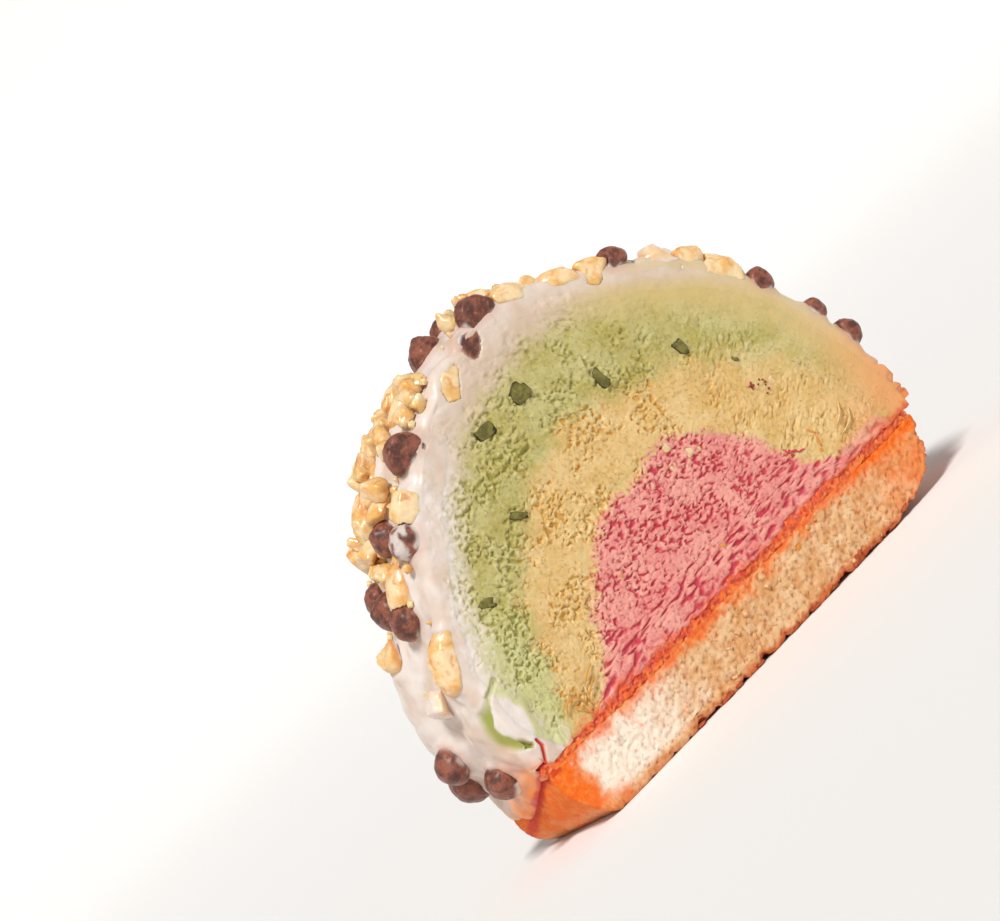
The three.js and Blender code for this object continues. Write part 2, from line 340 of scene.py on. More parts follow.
class Look:
    """A material, with short ways to make the nodes that feed its shader."""

    def __init__(self, name, **constants):
        self.material = bpy.data.materials.new(name)
        self.material.use_nodes = True
        self.tree = self.material.node_tree
        self.shader = self.tree.nodes["Principled BSDF"]
        for socket, value in constants.items():
            self.shader.inputs[socket.replace("_", " ")].default_value = value
        self.place = self.tree.nodes.new("ShaderNodeTexCoord").outputs["Object"]

    def feed(self, socket, value):
        """Links a node's output to a socket, or sets the socket to a constant."""
        if isinstance(value, bpy.types.NodeSocket):
            self.tree.links.new(value, socket)
        else:
            socket.default_value = value

    def node(self, kind, **sockets):
        made = self.tree.nodes.new(kind)
        for name, value in sockets.items():
            self.feed(made.inputs[name.replace("_", " ")], value)
        return made

    def mark(self, name):
        made = self.tree.nodes.new("ShaderNodeAttribute")
        made.attribute_name = name
        return made.outputs["Fac"]

    def grain(self, size, detail=3.0, rough=0.55, distortion=0.0):
        made = self.node(
            "ShaderNodeTexNoise", Vector=self.place, Scale=1 / (size * MM),
            Detail=detail, Roughness=rough, Distortion=distortion,
        )
        return made.outputs["Fac"]

    def span(self, value, low, high, start=0.0, end=1.0):
        """start where the value is low, end where it is high, and a smooth step between."""
        made = self.node(
            "ShaderNodeMapRange", Value=value, From_Min=low, From_Max=high, To_Min=start, To_Max=end,
        )
        made.interpolation_type = "SMOOTHSTEP"
        return made.outputs["Result"]

    def patches(self, size, low, high, *grain):
        """Soft patches where the grain of that size rises from low to high."""
        return self.span(self.grain(size, *grain), low, high)

    def maths(self, operation, first, second):
        made = self.tree.nodes.new("ShaderNodeMath")
        made.operation = operation
        self.feed(made.inputs[0], first)
        self.feed(made.inputs[1], second)
        return made.outputs[0]

    def times(self, first, second):
        return self.maths("MULTIPLY", first, second)

    def mix(self, share, first, second):
        made = self.tree.nodes.new("ShaderNodeMix")
        made.data_type = "RGBA"
        colours = [socket for socket in made.inputs if socket.type == "RGBA"]
        for socket, value in zip((made.inputs["Factor"], *colours), (share, first, second)):
            self.feed(socket, value)
        return next(socket for socket in made.outputs if socket.type == "RGBA")

    def tinted(self, colour, **tints):
        """The colour with others mixed in, each by the mark of its name."""
        for name, tint in tints.items():
            colour = self.mix(self.mark(name), colour, tint)
        return colour

    def finish(self, colour, roughness=None, bumps=()):
        """Links the colour, the roughness and the bumps, each a height and its depth in mm."""
        self.tree.links.new(colour, self.shader.inputs["Base Color"])
        if roughness is not None:
            self.tree.links.new(roughness, self.shader.inputs["Roughness"])
        normal = None
        for height, depth in bumps:
            bump = self.node("ShaderNodeBump", Height=height, Distance=depth * MM, Strength=1.0)
            if normal is not None:
                self.tree.links.new(normal, bump.inputs["Normal"])
            normal = bump.outputs["Normal"]
        if normal is not None:
            self.tree.links.new(normal, self.shader.inputs["Normal"])
        return self.material


def frozen(name, **constants):
    """The start of a material for something frozen and a little translucent."""
    settings = {
        "Roughness": 0.5, "Subsurface_Weight": 0.3, "Subsurface_Radius": (1.0, 0.6, 0.4),
        "Subsurface_Scale": 1.2 * MM, "IOR": 1.36,
    }
    return Look(name, **{**settings, **constants})


# Colours

# For each ice cream: its flesh, a darker colour that is painted shade in its pits (the pink and yellow
# ones also colour bits and shreds), and a paler tone that is also the painted highlight on the tops of
# its lumps (the green one also tints the cream beside it).
PINK = linear(225, 134, 130)
PINK_DEEP_AND_PIT_SHADE = linear(204, 68, 84)
PINK_PALE_AND_HIGHLIGHT = linear(244, 184, 166)
YELLOW = linear(217, 179, 110)
YELLOW_DEEP_AND_PIT_SHADE = linear(214, 160, 66)
YELLOW_PALE_AND_HIGHLIGHT = linear(236, 211, 160)
GREEN = linear(180, 168, 92)
GREEN_PIT_SHADE = linear(156, 148, 62)
GREEN_PALE_AND_HIGHLIGHT = linear(214, 206, 154)
MINT = linear(204, 206, 148)
PEACH = linear(236, 160, 104)
BUTTER = linear(213, 188, 128)
# Green in the groove, darker than the flesh as painted shade.
GROOVE_GREEN_AND_SHADE = linear(160, 164, 78)
CREAM = linear(233, 222, 215)
CREAM_SHADE = linear(218, 196, 178)
CREAM_DUSK = linear(213, 189, 165)
SYRUP = linear(228, 92, 50)
SYRUP_DARK = linear(206, 58, 34)
ORANGE = linear(246, 110, 28)
ORANGE_PALE = linear(244, 138, 56)
# Sponge: its crumb, a darker colour that is painted shade in its pits and pores, a paler tone that is
# also the painted highlight on the tops of its crumbs and the colour of loose crumbs, and the pale
# crumb.
CAKE = linear(221, 166, 112)
CAKE_PIT_SHADE = linear(208, 138, 82)
CAKE_LIGHT_AND_HIGHLIGHT = linear(236, 200, 156)
CAKE_PALE = linear(252, 236, 218)
CRUST = linear(186, 92, 48)
CRUST_DARK = linear(146, 58, 36)
BERRY = linear(186, 58, 56)
GRAIN = linear(238, 204, 166)
SHRED = linear(206, 148, 70)
CHOCOLATE = linear(154, 86, 62)
CHOCOLATE_DARK = linear(88, 42, 30)
# Pale bloom, also the painted highlight on the chips' grain and the chocolate smudged on the cream.
CHOCOLATE_BLOOM_AND_HIGHLIGHT = linear(206, 158, 140)
NUT = linear(236, 184, 106)
# A deeper nut tone, also the painted shade where nuts meet the coat.
NUT_DEEP_AND_SHADE = linear(222, 140, 56)
NUT_PALE = linear(248, 220, 176)
SEED_GREEN = linear(128, 122, 58)
SEED_DARK = linear(60, 50, 30)
PINKS = (PINK, PINK_PALE_AND_HIGHLIGHT, PINK_DEEP_AND_PIT_SHADE)
YELLOWS = (YELLOW, YELLOW_PALE_AND_HIGHLIGHT, YELLOW_DEEP_AND_PIT_SHADE)
GREENS = (GREEN, GREEN_PALE_AND_HIGHLIGHT, GREEN_PIT_SHADE)
CREAMS = (CREAM, CREAM, GREEN_PALE_AND_HIGHLIGHT)


def ice_cream_look(name, own, outer, inner, pit_shade):
    """own, outer and inner are the colours of this layer and of its neighbours, which the marks outer
    and inner blend in: the flesh, its pale tone that is also the painted highlight on its lumps, and
    the painted shade in its pits. The last argument is the strength of painted shade in small holes."""
    look = frozen(name)
    # The pale tone goes in by random patches and, as a painted highlight, by the mark on the lumps'
    # tops.
    shares = (
        look.times(look.patches(5.0, 0.35, 0.65), 0.45), look.times(look.mark("lump"), 0.7),
        look.times(look.patches(0.7, 0.42, 0.66, 4, 0.65), 0.35),
    )

    def flecked(flesh, pale_tone_and_highlight, _):
        for share in shares:
            flesh = look.mix(share, flesh, pale_tone_and_highlight)
        return flesh

    beyond = look.tinted(flecked(*outer), dusk=CREAM_DUSK, butter=BUTTER)
    colour = look.tinted(flecked(*own), outer=beyond, inner=flecked(*inner), mint=MINT)
    pit_shade_colour = look.tinted(own[2], outer=outer[2], inner=inner[2])
    # Painted shade: the pit colour goes into the pits that the mark deep gives and into small holes,
    # which are also bumps.
    within = look.maths("SUBTRACT", 1.0, look.mark("outer"))
    holes = look.times(look.patches(0.55, 0.6, 0.68, 2, 0.5), within)
    deep = look.maths("MAXIMUM", look.mark("deep"), look.times(holes, pit_shade))
    colour = look.mix(deep, colour, pit_shade_colour)
    # The groove's green is darkened as painted shade.
    colour = look.tinted(colour, peach=PEACH, groove=GROOVE_GREEN_AND_SHADE, stain=SYRUP)
    roughness = look.span(look.grain(1.2), 0.3, 0.7, 0.42, 0.6)
    bumps = [(look.grain(0.45, 4, 0.65), 0.08), (look.maths("SUBTRACT", 1.0, holes), 0.12)]
    return look.finish(colour, roughness, bumps)


def cream_look():
    look = frozen("whipped_cream", Coat_Weight=0.15, Coat_Roughness=0.25)
    # In the groove the cream turns green, darkened as painted shade.
    colour = look.tinted(
        look.mix(look.patches(7.0, 0.35, 0.7), CREAM, CREAM_SHADE),
        dusk=CREAM_DUSK, butter=BUTTER, inner=GREEN_PALE_AND_HIGHLIGHT, groove=GROOVE_GREEN_AND_SHADE, peach=PEACH,
        stain=ORANGE_PALE, syrup=SYRUP_DARK, smudge=CHOCOLATE_BLOOM_AND_HIGHLIGHT,
    )
    roughness = look.span(look.grain(1.5), 0.35, 0.65, 0.28, 0.5)
    bumps = [(look.grain(1.6, 4, 0.5), 0.12), (look.grain(0.3, 3, 0.6), 0.03)]
    return look.finish(colour, roughness, bumps)


def syrup_look():
    look = Look(
        "red_syrup", Roughness=0.4, Subsurface_Weight=0.25, Subsurface_Radius=(1.0, 0.3, 0.15),
        Subsurface_Scale=1.2 * MM, Coat_Weight=0.2, Coat_Roughness=0.25,
    )
    colour = look.mix(look.patches(1.4, 0.44, 0.58, 3, 0.6), SYRUP, ORANGE)
    colour = look.mix(look.patches(3.0, 0.5, 0.62, 3, 0.6), colour, SYRUP_DARK)
    colour = look.tinted(colour, crumb=ORANGE_PALE)
    # Painted shade in the syrup's pits, and darker syrup in blots on the right.
    colour = look.mix(look.times(look.mark("deep"), 0.6), colour, SYRUP_DARK)
    return look.finish(colour, None, [(look.grain(0.6, 4, 0.6), 0.15)])


def sponge_look():
    look = Look(
        "sponge_cake", Roughness=0.8, Subsurface_Weight=0.15, Subsurface_Radius=(1.0, 0.6, 0.35),
        Subsurface_Scale=1.0 * MM, Specular_IOR_Level=0.2,
    )
    colour = look.mix(look.patches(3.5, 0.35, 0.65, 4), CAKE, CAKE_LIGHT_AND_HIGHLIGHT)
    # Painted highlights on the tops of the crumbs.
    colour = look.mix(look.times(look.mark("lump"), 0.7), colour, CAKE_LIGHT_AND_HIGHLIGHT)
    colour = look.tinted(colour, pale=CAKE_PALE)
    # Painted shade in the colour of the pits, in pores and in the pits that the mark deep gives.
    pores = look.patches(0.75, 0.54, 0.66, 4, 0.65)
    sparse = look.maths("SUBTRACT", 0.55, look.times(look.mark("pale"), 0.4))
    colour = look.mix(look.times(pores, sparse), colour, CAKE_PIT_SHADE)
    colour = look.tinted(colour, deep=CAKE_PIT_SHADE)
    colour = look.mix(look.times(look.patches(2.6, 0.62, 0.74, 3, 0.6), 0.5), colour, ORANGE)
    wet = look.mix(look.patches(1.3, 0.45, 0.65, 4, 0.65, 0.3), ORANGE, ORANGE_PALE)
    colour = look.tinted(colour, stain=wet, syrup=SYRUP_DARK, crust=CRUST)
    roughness = look.span(look.mark("stain"), 0.0, 1.0, 0.85, 0.65)
    bumps = [(look.grain(0.7, 5, 0.7), 0.2), (look.maths("SUBTRACT", 1.0, pores), 0.06)]
    return look.finish(colour, roughness, bumps)


def chip_look():
    look = Look("chocolate", Roughness=0.4, Coat_Weight=0.25, Coat_Roughness=0.3)
    colour = look.mix(look.patches(1.8, 0.36, 0.62, 4, 0.6), CHOCOLATE_DARK, CHOCOLATE)
    # Pale patches that are bloom and painted highlights on the grain.
    bloom_and_highlight = look.times(look.patches(0.9, 0.6, 0.72, 4, 0.7), 0.35)
    colour = look.tinted(look.mix(bloom_and_highlight, colour, CHOCOLATE_BLOOM_AND_HIGHLIGHT), film=CREAM)
    roughness = look.span(look.grain(1.0), 0.35, 0.65, 0.28, 0.55)
    bumps = [(look.grain(1.1, 5, 0.7), 0.5), (look.grain(0.3, 2, 0.5), 0.08)]
    return look.finish(colour, roughness, bumps)


def nut_look():
    look = Look(
        "peanut", Roughness=0.35, Subsurface_Weight=0.4, Subsurface_Radius=(1.0, 0.55, 0.25),
        Subsurface_Scale=1.6 * MM, Coat_Weight=0.35, Coat_Roughness=0.15,
    )
    colour = look.mix(look.patches(3.0, 0.35, 0.65), NUT, NUT_PALE)
    deep = look.times(look.patches(2.2, 0.52, 0.72, 3, 0.5, 0.6), 0.75)
    # Random deeper patches, and painted shade by the mark low where a nut meets the coat.
    colour = look.tinted(look.mix(deep, colour, NUT_DEEP_AND_SHADE), low=NUT_DEEP_AND_SHADE, film=CREAM)
    roughness = look.span(look.grain(1.4), 0.35, 0.65, 0.2, 0.42)
    return look.finish(colour, roughness, [(look.grain(1.6, 4, 0.55), 0.22)])


def bit_look(name, middle, rim, size, rough=0.6):
    """For small bits, in one colour at their rim and another in the middle."""
    look = frozen(name, Roughness=rough, Subsurface_Weight=0.1)
    patches = look.times(look.patches(size, 0.4, 0.6, 4, 0.6, 0.4), 0.55)
    colour = look.mix(look.maths("MAXIMUM", look.mark("rim"), patches), middle, rim)
    return look.finish(colour, None, [(look.grain(size / 2, 4), 0.15)])


# Outlines of the layers, from the frame

def spread_angles(spans):
    """Angles from the right foot to the left foot, a little denser at the feet."""
    share = np.linspace(0, 1, spans + 1)
    return math.pi * (share - 0.03 * np.sin(2 * math.pi * share))


ANGLES = spread_angles(SPANS)
ALONG = np.cos(ANGLES)
UP = np.sin(ANGLES)


def reach(node, depth):
    """How far out the node reaches at each angle, in the plane at that depth."""
    tree = search_tree(node)
    found = []
    for angle in ANGLES:
        angle = min(max(angle, 0.0006), math.pi - 0.0006)
        out = Vector((math.cos(angle), 0, math.sin(angle)))
        start = Vector((AXIS_X, depth, BASE)) + out * FAR
        _, _, _, distance = tree.ray_cast(start, -out)
        found.append(FAR - distance)
    return eased(np.array(found), 5)


def eased(values, half_width):
    """A running mean, which takes the CAD model's facets away."""
    kernel = np.hanning(2 * half_width + 3)[1:-1]
    return np.convolve(np.pad(values, half_width, "edge"), kernel / kernel.sum(), "valid")


STRAWBERRY = reach("strawberry_core", 0) + HALF_GAP
VANILLA = reach("vanilla_layer", 0) + HALF_GAP
PISTACHIO = reach("pistachio_layer", 0) + HALF_GAP
COAT_EDGE = reach("cream_coat", FACE - 0.1)
COAT_MIDDLE = reach("cream_coat", 0)


def ragged(edge, amount, size, seed):
    """A layer's edge with the uneven line that freezing and cutting leave."""
    line = np.stack([edge * ALONG, edge * UP], -1)
    return edge + amount * layered(line, size, 3, seed)


def edges_at(seed):
    """The radii where strawberry, vanilla and pistachio end, on one cut face."""
    return (
        ragged(STRAWBERRY, 0.45, 3.2, seed),
        ragged(VANILLA, 0.8, 6.0, seed + 5),
        ragged(PISTACHIO, 0.6, 8.0, seed + 9),
    )


# Relief of the cut faces

EVERY = np.arange(SPANS + 1)
SECOND = EVERY[::2]
FRONT_SEED = 100
REAR_SEED = 700
# Each cut face's side, spacing of points, seed and picked angles
SIDES = ((-1, SPACING, FRONT_SEED, EVERY), (1, REAR_SPACING, REAR_SEED, SECOND))
FACE_EDGES = {side: edges_at(seed) for side, _, seed, _ in SIDES}
BORDERS = ("to_yellow", "to_green", "to_cream")  # the marks that rise across the layer edges
LIP = 1.1  # how far the ice cream hangs over the syrup at a cut face


def drawn_out(plane, stretch, angle):
    """The plane squeezed along a direction, given from +X towards +Z, so that noise on it is long."""
    cos, sin = math.cos(angle), math.sin(angle)
    along = plane[:, 0] * cos + plane[:, 1] * sin
    across = -plane[:, 0] * sin + plane[:, 1] * cos
    return np.stack([along / stretch, across], -1)


# On the front face, cream and pale green bulge beside a groove, and a crack runs from its low end
# to the syrup. These lines are given by (x, z).
GROOVE_LINE = (
    (-43.7, 29.8), (-46.6, 28.6), (-48.9, 26.9), (-49.8, 24.4), (-49.5, 21.9), (-48.7, 20.0),
    (-46.6, 17.9),
)
BULGE_MIDDLE = (-46.2, 23.0)
BULGE_REACH = (2.6, 5.0)
LOW_MINT = (-43.2, 16.6)
CRACK_LINE = ((-45.3, 18.0), (-45.4, 16.8), (-46.6, 15.4), (-47.2, 13.8), (-47.3, 12.7))
FOOT_LINE = ((-46.8, 14.0), (-47.8, 12.6))


def from_line(plane, line):
    """Distance to a line of straight stretches."""
    nearest = np.full(len(plane), FAR)
    for start, end in zip(line[:-1], line[1:]):
        start, along = np.array(start), np.array(end) - np.array(start)
        share = np.clip((plane - start) @ along / (along @ along), 0, 1)
        nearest = np.minimum(nearest, np.linalg.norm(plane - start - share[:, None] * along, axis=1))
    return nearest


def uneven(plane):
    """The plane bent a little, so that the lines on it waver."""
    return plane + 0.3 * np.stack([noise(plane, 2.5, 801), noise(plane, 2.5, 802)], -1)


def groove_on(plane):
    """The groove's share at points (x, z). It narrows to its ends."""
    z = plane[:, 1]
    width = 0.5 + 0.5 * band(z, 17.5, 21, 26.5, 30)
    share = 1 - 0.6 * step(z, 26.0, 28.5)
    return share * fall(from_line(uneven(plane), GROOVE_LINE) / width, 0.4, 1.2)


def scooped(plane, out, marks):
    """Adds the groove, its bulge and the crack to a relief and its marks."""
    bent = uneven(plane)
    groove = groove_on(plane)
    away = np.linalg.norm((bent - BULGE_MIDDLE) / BULGE_REACH, axis=1)
    bulge = fall(away, 0.9, 1.9) * (1 - groove)
    out = blend(0.9 * bulge, out, 0.25 + 0.1 * noise(plane, 2.0, 805)) + 0.6 * bulge - 0.5 * groove
    # No painted pit shade or highlight on the bulge or in the groove.
    marks["deep"] *= 1 - np.maximum(bulge, groove)
    marks["lump"] *= 1 - np.maximum(bulge, groove)
    white = fall(away, 0.75, 1.15) * (1 - groove)
    minty = bulge * step(plane[:, 0], -48.0, -46.0)
    from_low = np.linalg.norm(bent - LOW_MINT, axis=1)
    minty = np.maximum(minty, 0.8 * fall(from_low, 1.5, 4.0))
    marks["mint"] = np.maximum(marks["mint"], minty) * (1 - white)
    marks["to_cream"] = np.clip(np.maximum(marks["to_cream"], white) - groove, 0, 1)
    marks["groove"] = groove
    crack = fall(from_line(bent, CRACK_LINE), 0.1, 0.42)
    foot = fall(from_line(bent, FOOT_LINE), 0.6, 1.6)
    marks["syrup"] = np.maximum(crack, foot)
    return out - 0.5 * crack


def low_left(x, height):
    """Where the cut face is smeared with cream, low on the left."""
    return step(-x, 28, 42) * fall(height, 14, 32)


def smears(x, height, past_edges, broad, common):
    """How far pink has turned yellow, yellow green and green cream, from 0 to 1. The colours run
    into each other near the layer edges, over a width that differs along them."""
    past_pink, past_yellow, past_green = past_edges
    right = step(x, 8, 30)
    shrunk = 2.2 * band(-x, -6, 5, 18, 25) + 1.2 * step(x, 20, 25)
    to_yellow = step(past_pink + 1.1 * common + shrunk, -1.0, 1.0)
    pink_strip = band(x, 16, 26, 40, 46) * fall(height + 0.6 * common, 1.2, 2.6)
    to_yellow *= 1 - 0.8 * pink_strip
    soft = 2.2 + 1.8 * step(x, 0, 30)
    over = 1.8 * band(-x, 2, 8, 11, 18)
    to_green = step(past_yellow + over + 1.4 * broad + 1.2 * common, -soft, soft)
    wider = 0.9 + 1.5 * low_left(x, height) + 0.8 * band(-x, -8, 1, 22, 38)
    to_cream = step(past_green + broad + (1.3 - right) * common + wider, -4.0 - 2.2 * right, 2.2)
    return to_yellow, to_green, to_cream


def cut_relief(plane, radius, edges, seed):
    """Height out of the cut face and the marks for its colours, at points (x, z) of the face. edges
    holds the three layer edges at each point."""
    past_edges = [radius - edge for edge in edges]
    past_pink, _, past_green = past_edges
    x, height = plane[:, 0], plane[:, 1] - BASE
    right = step(x, 8, 30)
    broad = noise(plane, 3.4, seed + 4)
    common = lumps(plane, 0.9, seed + 20)
    to_yellow, to_green, to_cream = smears(x, height, past_edges, broad, common)
    pink = 1 - to_yellow
    yellow = to_yellow * (1 - to_green)
    green = to_yellow * to_green * (1 - to_cream)
    patches = layered(plane, 6.5, 2, seed + 3)
    calm = step(patches, 0.0, 0.5)
    patchy = 0.3 * noise(plane, 4.0, seed + 8)

    # Pink flakes lie along the syrup near it
    slits = blend(
        right, lumps(drawn_out(plane, 1.4, 0.0), 0.74, seed + 30),
        lumps(drawn_out(plane, 2.4, -0.05), 0.74, seed + 33),
    )
    ridges = lumps(drawn_out(plane, 3.4, 0.08), 0.75, seed + 36)
    pink_hills = blend(fall(height, 3, 9), slits, ridges)
    pink_flakes = flaked(pink_hills, -0.22 - 0.4 * calm + patchy)

    # Yellow and green crumble into lumps, which lean on the right
    slanted = lumps(drawn_out(plane, 1.9, 0.6), 0.72, seed + 42)
    hills = blend(right, common, slanted)
    smooth = step(patches, -0.12, 0.4) + right * (0.4 + step(past_green, -7.0, -2.5))
    smooth = np.clip(smooth, 0, 1)
    flakes = flaked(hills, -0.28 - 0.8 * smooth + patchy)

    rest = to_yellow * (1 - 0.85 * to_cream) * (1 - 0.7 * smooth)
    out = 0.25 * layered(plane, 13, 2, seed + 60) - 0.3
    out += pink * (0.29 * pink_flakes + 0.14 * np.clip(pink_hills, -0.4, 1.2))
    out += rest * (0.27 * flakes + 0.2 * np.clip(hills, -0.4, 1.2)) + 0.3 * to_yellow * (1 - rest)
    out += 0.22 * to_yellow * layered(plane, 2.3, 2, seed + 64) * (1 - 0.6 * smooth)
    out += 0.05 * noise(plane, 0.55, seed + 50) * (1 - 0.5 * smooth)
    out -= 0.15 * fall(height, 0.0, 0.7)

    rim = step(past_green, -0.5, 3.5)
    near_cream = step(past_green, -9, -6)
    peach = step(x - 0.35 * (height - 6), 31, 52) * fall(height, 4, 32)
    bleed = step(-height + 0.8 * broad + 0.7 * common, -1.2, 0.3)
    # Painted highlights on the tops of the hills; the pink is also paler on calm patches and near its
    # edge.
    highlighted_and_pale = pink * np.maximum(step(pink_hills, 0.45, 0.95), 0.4 * calm)
    highlighted_and_pale += to_yellow * step(hills, 0.4, 0.9)
    highlighted_and_pale += 0.6 * pink * step(past_pink, -5.0, -1.5) * fall(x, 2, 10) * (1 - pink_flakes * 0.4)
    # Painted shade in the pits between the flakes.
    pit_shade = pink * (1 - pink_flakes) + (0.8 * yellow + 0.6 * green) * (1 - flakes)
    marks = {
        "deep": np.clip(pit_shade, 0, 1),
        "lump": np.clip(highlighted_and_pale * (1 - 0.5 * smooth), 0, 1),
        "peach": 0.9 * peach * (1 - pink),
        "stain": 0.85 * bleed * fall(-x, 38, 44),
        "to_yellow": to_yellow,
        "to_green": to_green,
        "to_cream": to_cream,
        "dusk": 0.9 * near_cream * step(x + 3 * broad, -34, -14) * (1 - 0.5 * rim),
        "butter": near_cream * step(x + 2 * broad, 3, 22) * (1 - (0.9 - 0.5 * step(x, 30, 44)) * rim),
        "mint": 0.8 * low_left(x, height) * green,
        "groove": np.zeros(len(plane)),
        "syrup": np.zeros(len(plane)),
    }
    if seed == FRONT_SEED:
        out = scooped(plane, out, marks)
    return out, marks


def place_on_face(radius, picks, side, edges, seed):
    """Points on a cut face at those radii, one row for each picked angle, and their marks."""
    x = AXIS_X + radius * ALONG[picks, None]
    z = BASE + radius * UP[picks, None]
    plane = np.stack([x.ravel(), z.ravel()], -1)
    wide = [np.broadcast_to(edge[picks, None], radius.shape).ravel() for edge in edges]
    out, marks = cut_relief(plane, radius.ravel(), wide, seed)
    lip = LIP + 0.35 * layered(plane * [1, 0], 2.6, 3, seed + 70)
    low = z.ravel() - lip * fall(plane[:, 1] - BASE, 0.0, 2.4)
    points = np.stack([x.ravel(), side * (FACE + out), low], -1).reshape(*radius.shape, 3)
    return points, {key: value.reshape(radius.shape) for key, value in marks.items()}


def rows_between(inner, outer, spacing):
    """Radii from one edge to another, as far apart as the spacing where the gap is wide."""
    rows = max(3, math.ceil(float(np.percentile(outer - inner, 90)) / spacing))
    share = np.linspace(0, 1, rows + 1)[None]
    return inner[:, None] + (outer - inner)[:, None] * share


def kept_marks(marks, inner, outer):
    """The marks that the material of a layer reads. inner and outer are the shares of its
    neighbours' colours."""
    kept = {key: value for key, value in marks.items() if key not in (*BORDERS, "syrup")}
    return {**kept, "inner": inner, "outer": outer}


def layer(flavour, place, own, outer, inner, pit_shade):
    """Vanilla or pistachio ice cream, as a closed ring from one of the three edges to the next, with
    the colours that ice_cream_look takes."""
    name = flavour + "_ice_cream"
    shell = Shell()
    faces = []
    for side, spacing, seed, picks in SIDES:
        edges = FACE_EDGES[side]
        radius = rows_between(edges[place][picks], edges[place + 1][picks], spacing)
        points, marks = place_on_face(radius, picks, side, edges, seed)
        shares = 1 - marks[BORDERS[place]], marks[BORDERS[place + 1]]
        numbers = shell.add(points, kept_marks(marks, *shares))
        shell.skin(numbers)
        faces.append(numbers)
    front, rear = faces
    shell.halved(front[:, 0], rear[:, 0])
    shell.halved(front[:, -1], rear[:, -1])
    for end in (0, -1):
        loop = np.concatenate([front[end], rear[end][::-1]])
        points = np.concatenate(shell.points)
        shell.fan(loop, points[loop].mean(0) + [0, 0, 0.1])
    closed(shell, name, ice_cream_look(name, own, outer, inner, pit_shade), flavour + "_layer")


LAST_RING = 0.015  # share of the edge's radius
FEWEST_SPANS = 24


def strawberry():
    """The middle, as rings that lose every second span as they close in on the centre."""
    shell = Shell()
    faces = []
    for side, spacing, seed, picks in SIDES:
        edges = FACE_EDGES[side]
        longest = float(edges[0].max())
        share, rings = 1.0, []
        while share > LAST_RING:
            radius = share * edges[0][picks, None]
            points, marks = place_on_face(radius, picks, side, edges, seed)
            kept = kept_marks(marks, 0 * radius, marks["to_yellow"])
            numbers = shell.add(points[:, 0], {key: value[:, 0] for key, value in kept.items()})
            if rings and len(rings[-1]) == len(numbers):
                shell.skin(np.stack([rings[-1], numbers]))
            elif rings:
                shell.halved(rings[-1], numbers)
            rings.append(numbers)
            share -= 1.1 * spacing / longest
            span = math.pi * share * longest / len(picks)
            if span < 0.8 * spacing and len(picks) % 2 and len(picks) > FEWEST_SPANS:
                picks = picks[::2]
        centre = shell.add(np.array([[AXIS_X, side * FACE, BASE - LIP]]))
        last = rings[-1]
        shell.faces.append(np.stack([last[:-1], last[1:], np.full(len(last) - 1, centre[0])], -1))
        floor = [ring[0] for ring in rings] + [centre[0]] + [ring[-1] for ring in rings[::-1]]
        faces.append((rings[0], np.array(floor)))
    (front, front_floor), (rear, rear_floor) = faces
    shell.halved(front, rear)
    shell.fan(np.concatenate([front_floor, rear_floor[::-1]]), [AXIS_X, 0, BASE + 0.1])
    look = ice_cream_look("strawberry_ice_cream", PINKS, YELLOWS, PINKS, 0.5)
    closed(shell, "strawberry_ice_cream", look, "strawberry_core")


# Toppings

TOPPING_VOXEL = 0.35
CHIP_SMOOTHING = 26
COVERED_CHIP = "choc_chip_01"
CREAMY_NUTS = ("peanut_chunk_04", "peanut_chunk_06", "peanut_chunk_09")
CUT_DEPTH = 0.6  # this near a cut face a topping shows where it was cut
SWELL = 2.7  # of the cream at the left end, behind the middle, with the toppings in it
LOW_CHIP_GROWTH = 0.4  # the chips at the foot of the left end stand out of the cream more


def coat_radius(points):
    """Radius of the coat's smooth surface under each point, and the point's own radius."""
    across = points[:, 0] - AXIS_X
    up = points[:, 2] - BASE
    angle = np.clip(np.arctan2(up, across), 0, math.pi)
    edge = np.interp(angle, ANGLES, COAT_EDGE)
    middle = np.interp(angle, ANGLES, COAT_MIDDLE)
    swollen = 1 - np.clip(np.abs(points[:, 1]) / FACE, 0, 1) ** 2
    return edge + (middle - edge) * swollen, np.hypot(across, up)


def swell_at(points):
    """How far the cream swells out at each point of the left end, behind its middle."""
    height = points[:, 2]
    swell = band(height, BASE + 2, BASE + 10, BASE + 19, BASE + 34)
    swell *= step(-points[:, 0], 35, 45)
    return SWELL * swell * step(points[:, 1], -3, 6) * step(FACE - points[:, 1], 0, 3.2)


def carried(points):
    """The points of a topping, moved out with the cream it sits in."""
    middle = points.mean(0)
    outward = middle - [AXIS_X, middle[1], BASE]
    return points + swell_at(middle[None]) * outward / np.linalg.norm(outward)


def film_on(points, seed):
    """How much cream clings to a topping near the coat."""
    coat, own = coat_radius(points)
    above = own - coat + 0.5 * layered(points, 1.6, 2, seed)
    uncut = fall(np.abs(points[:, 1]), FACE - CUT_DEPTH, FACE - CUT_DEPTH / 2)
    return uncut * fall(above, 0.0, 0.9)


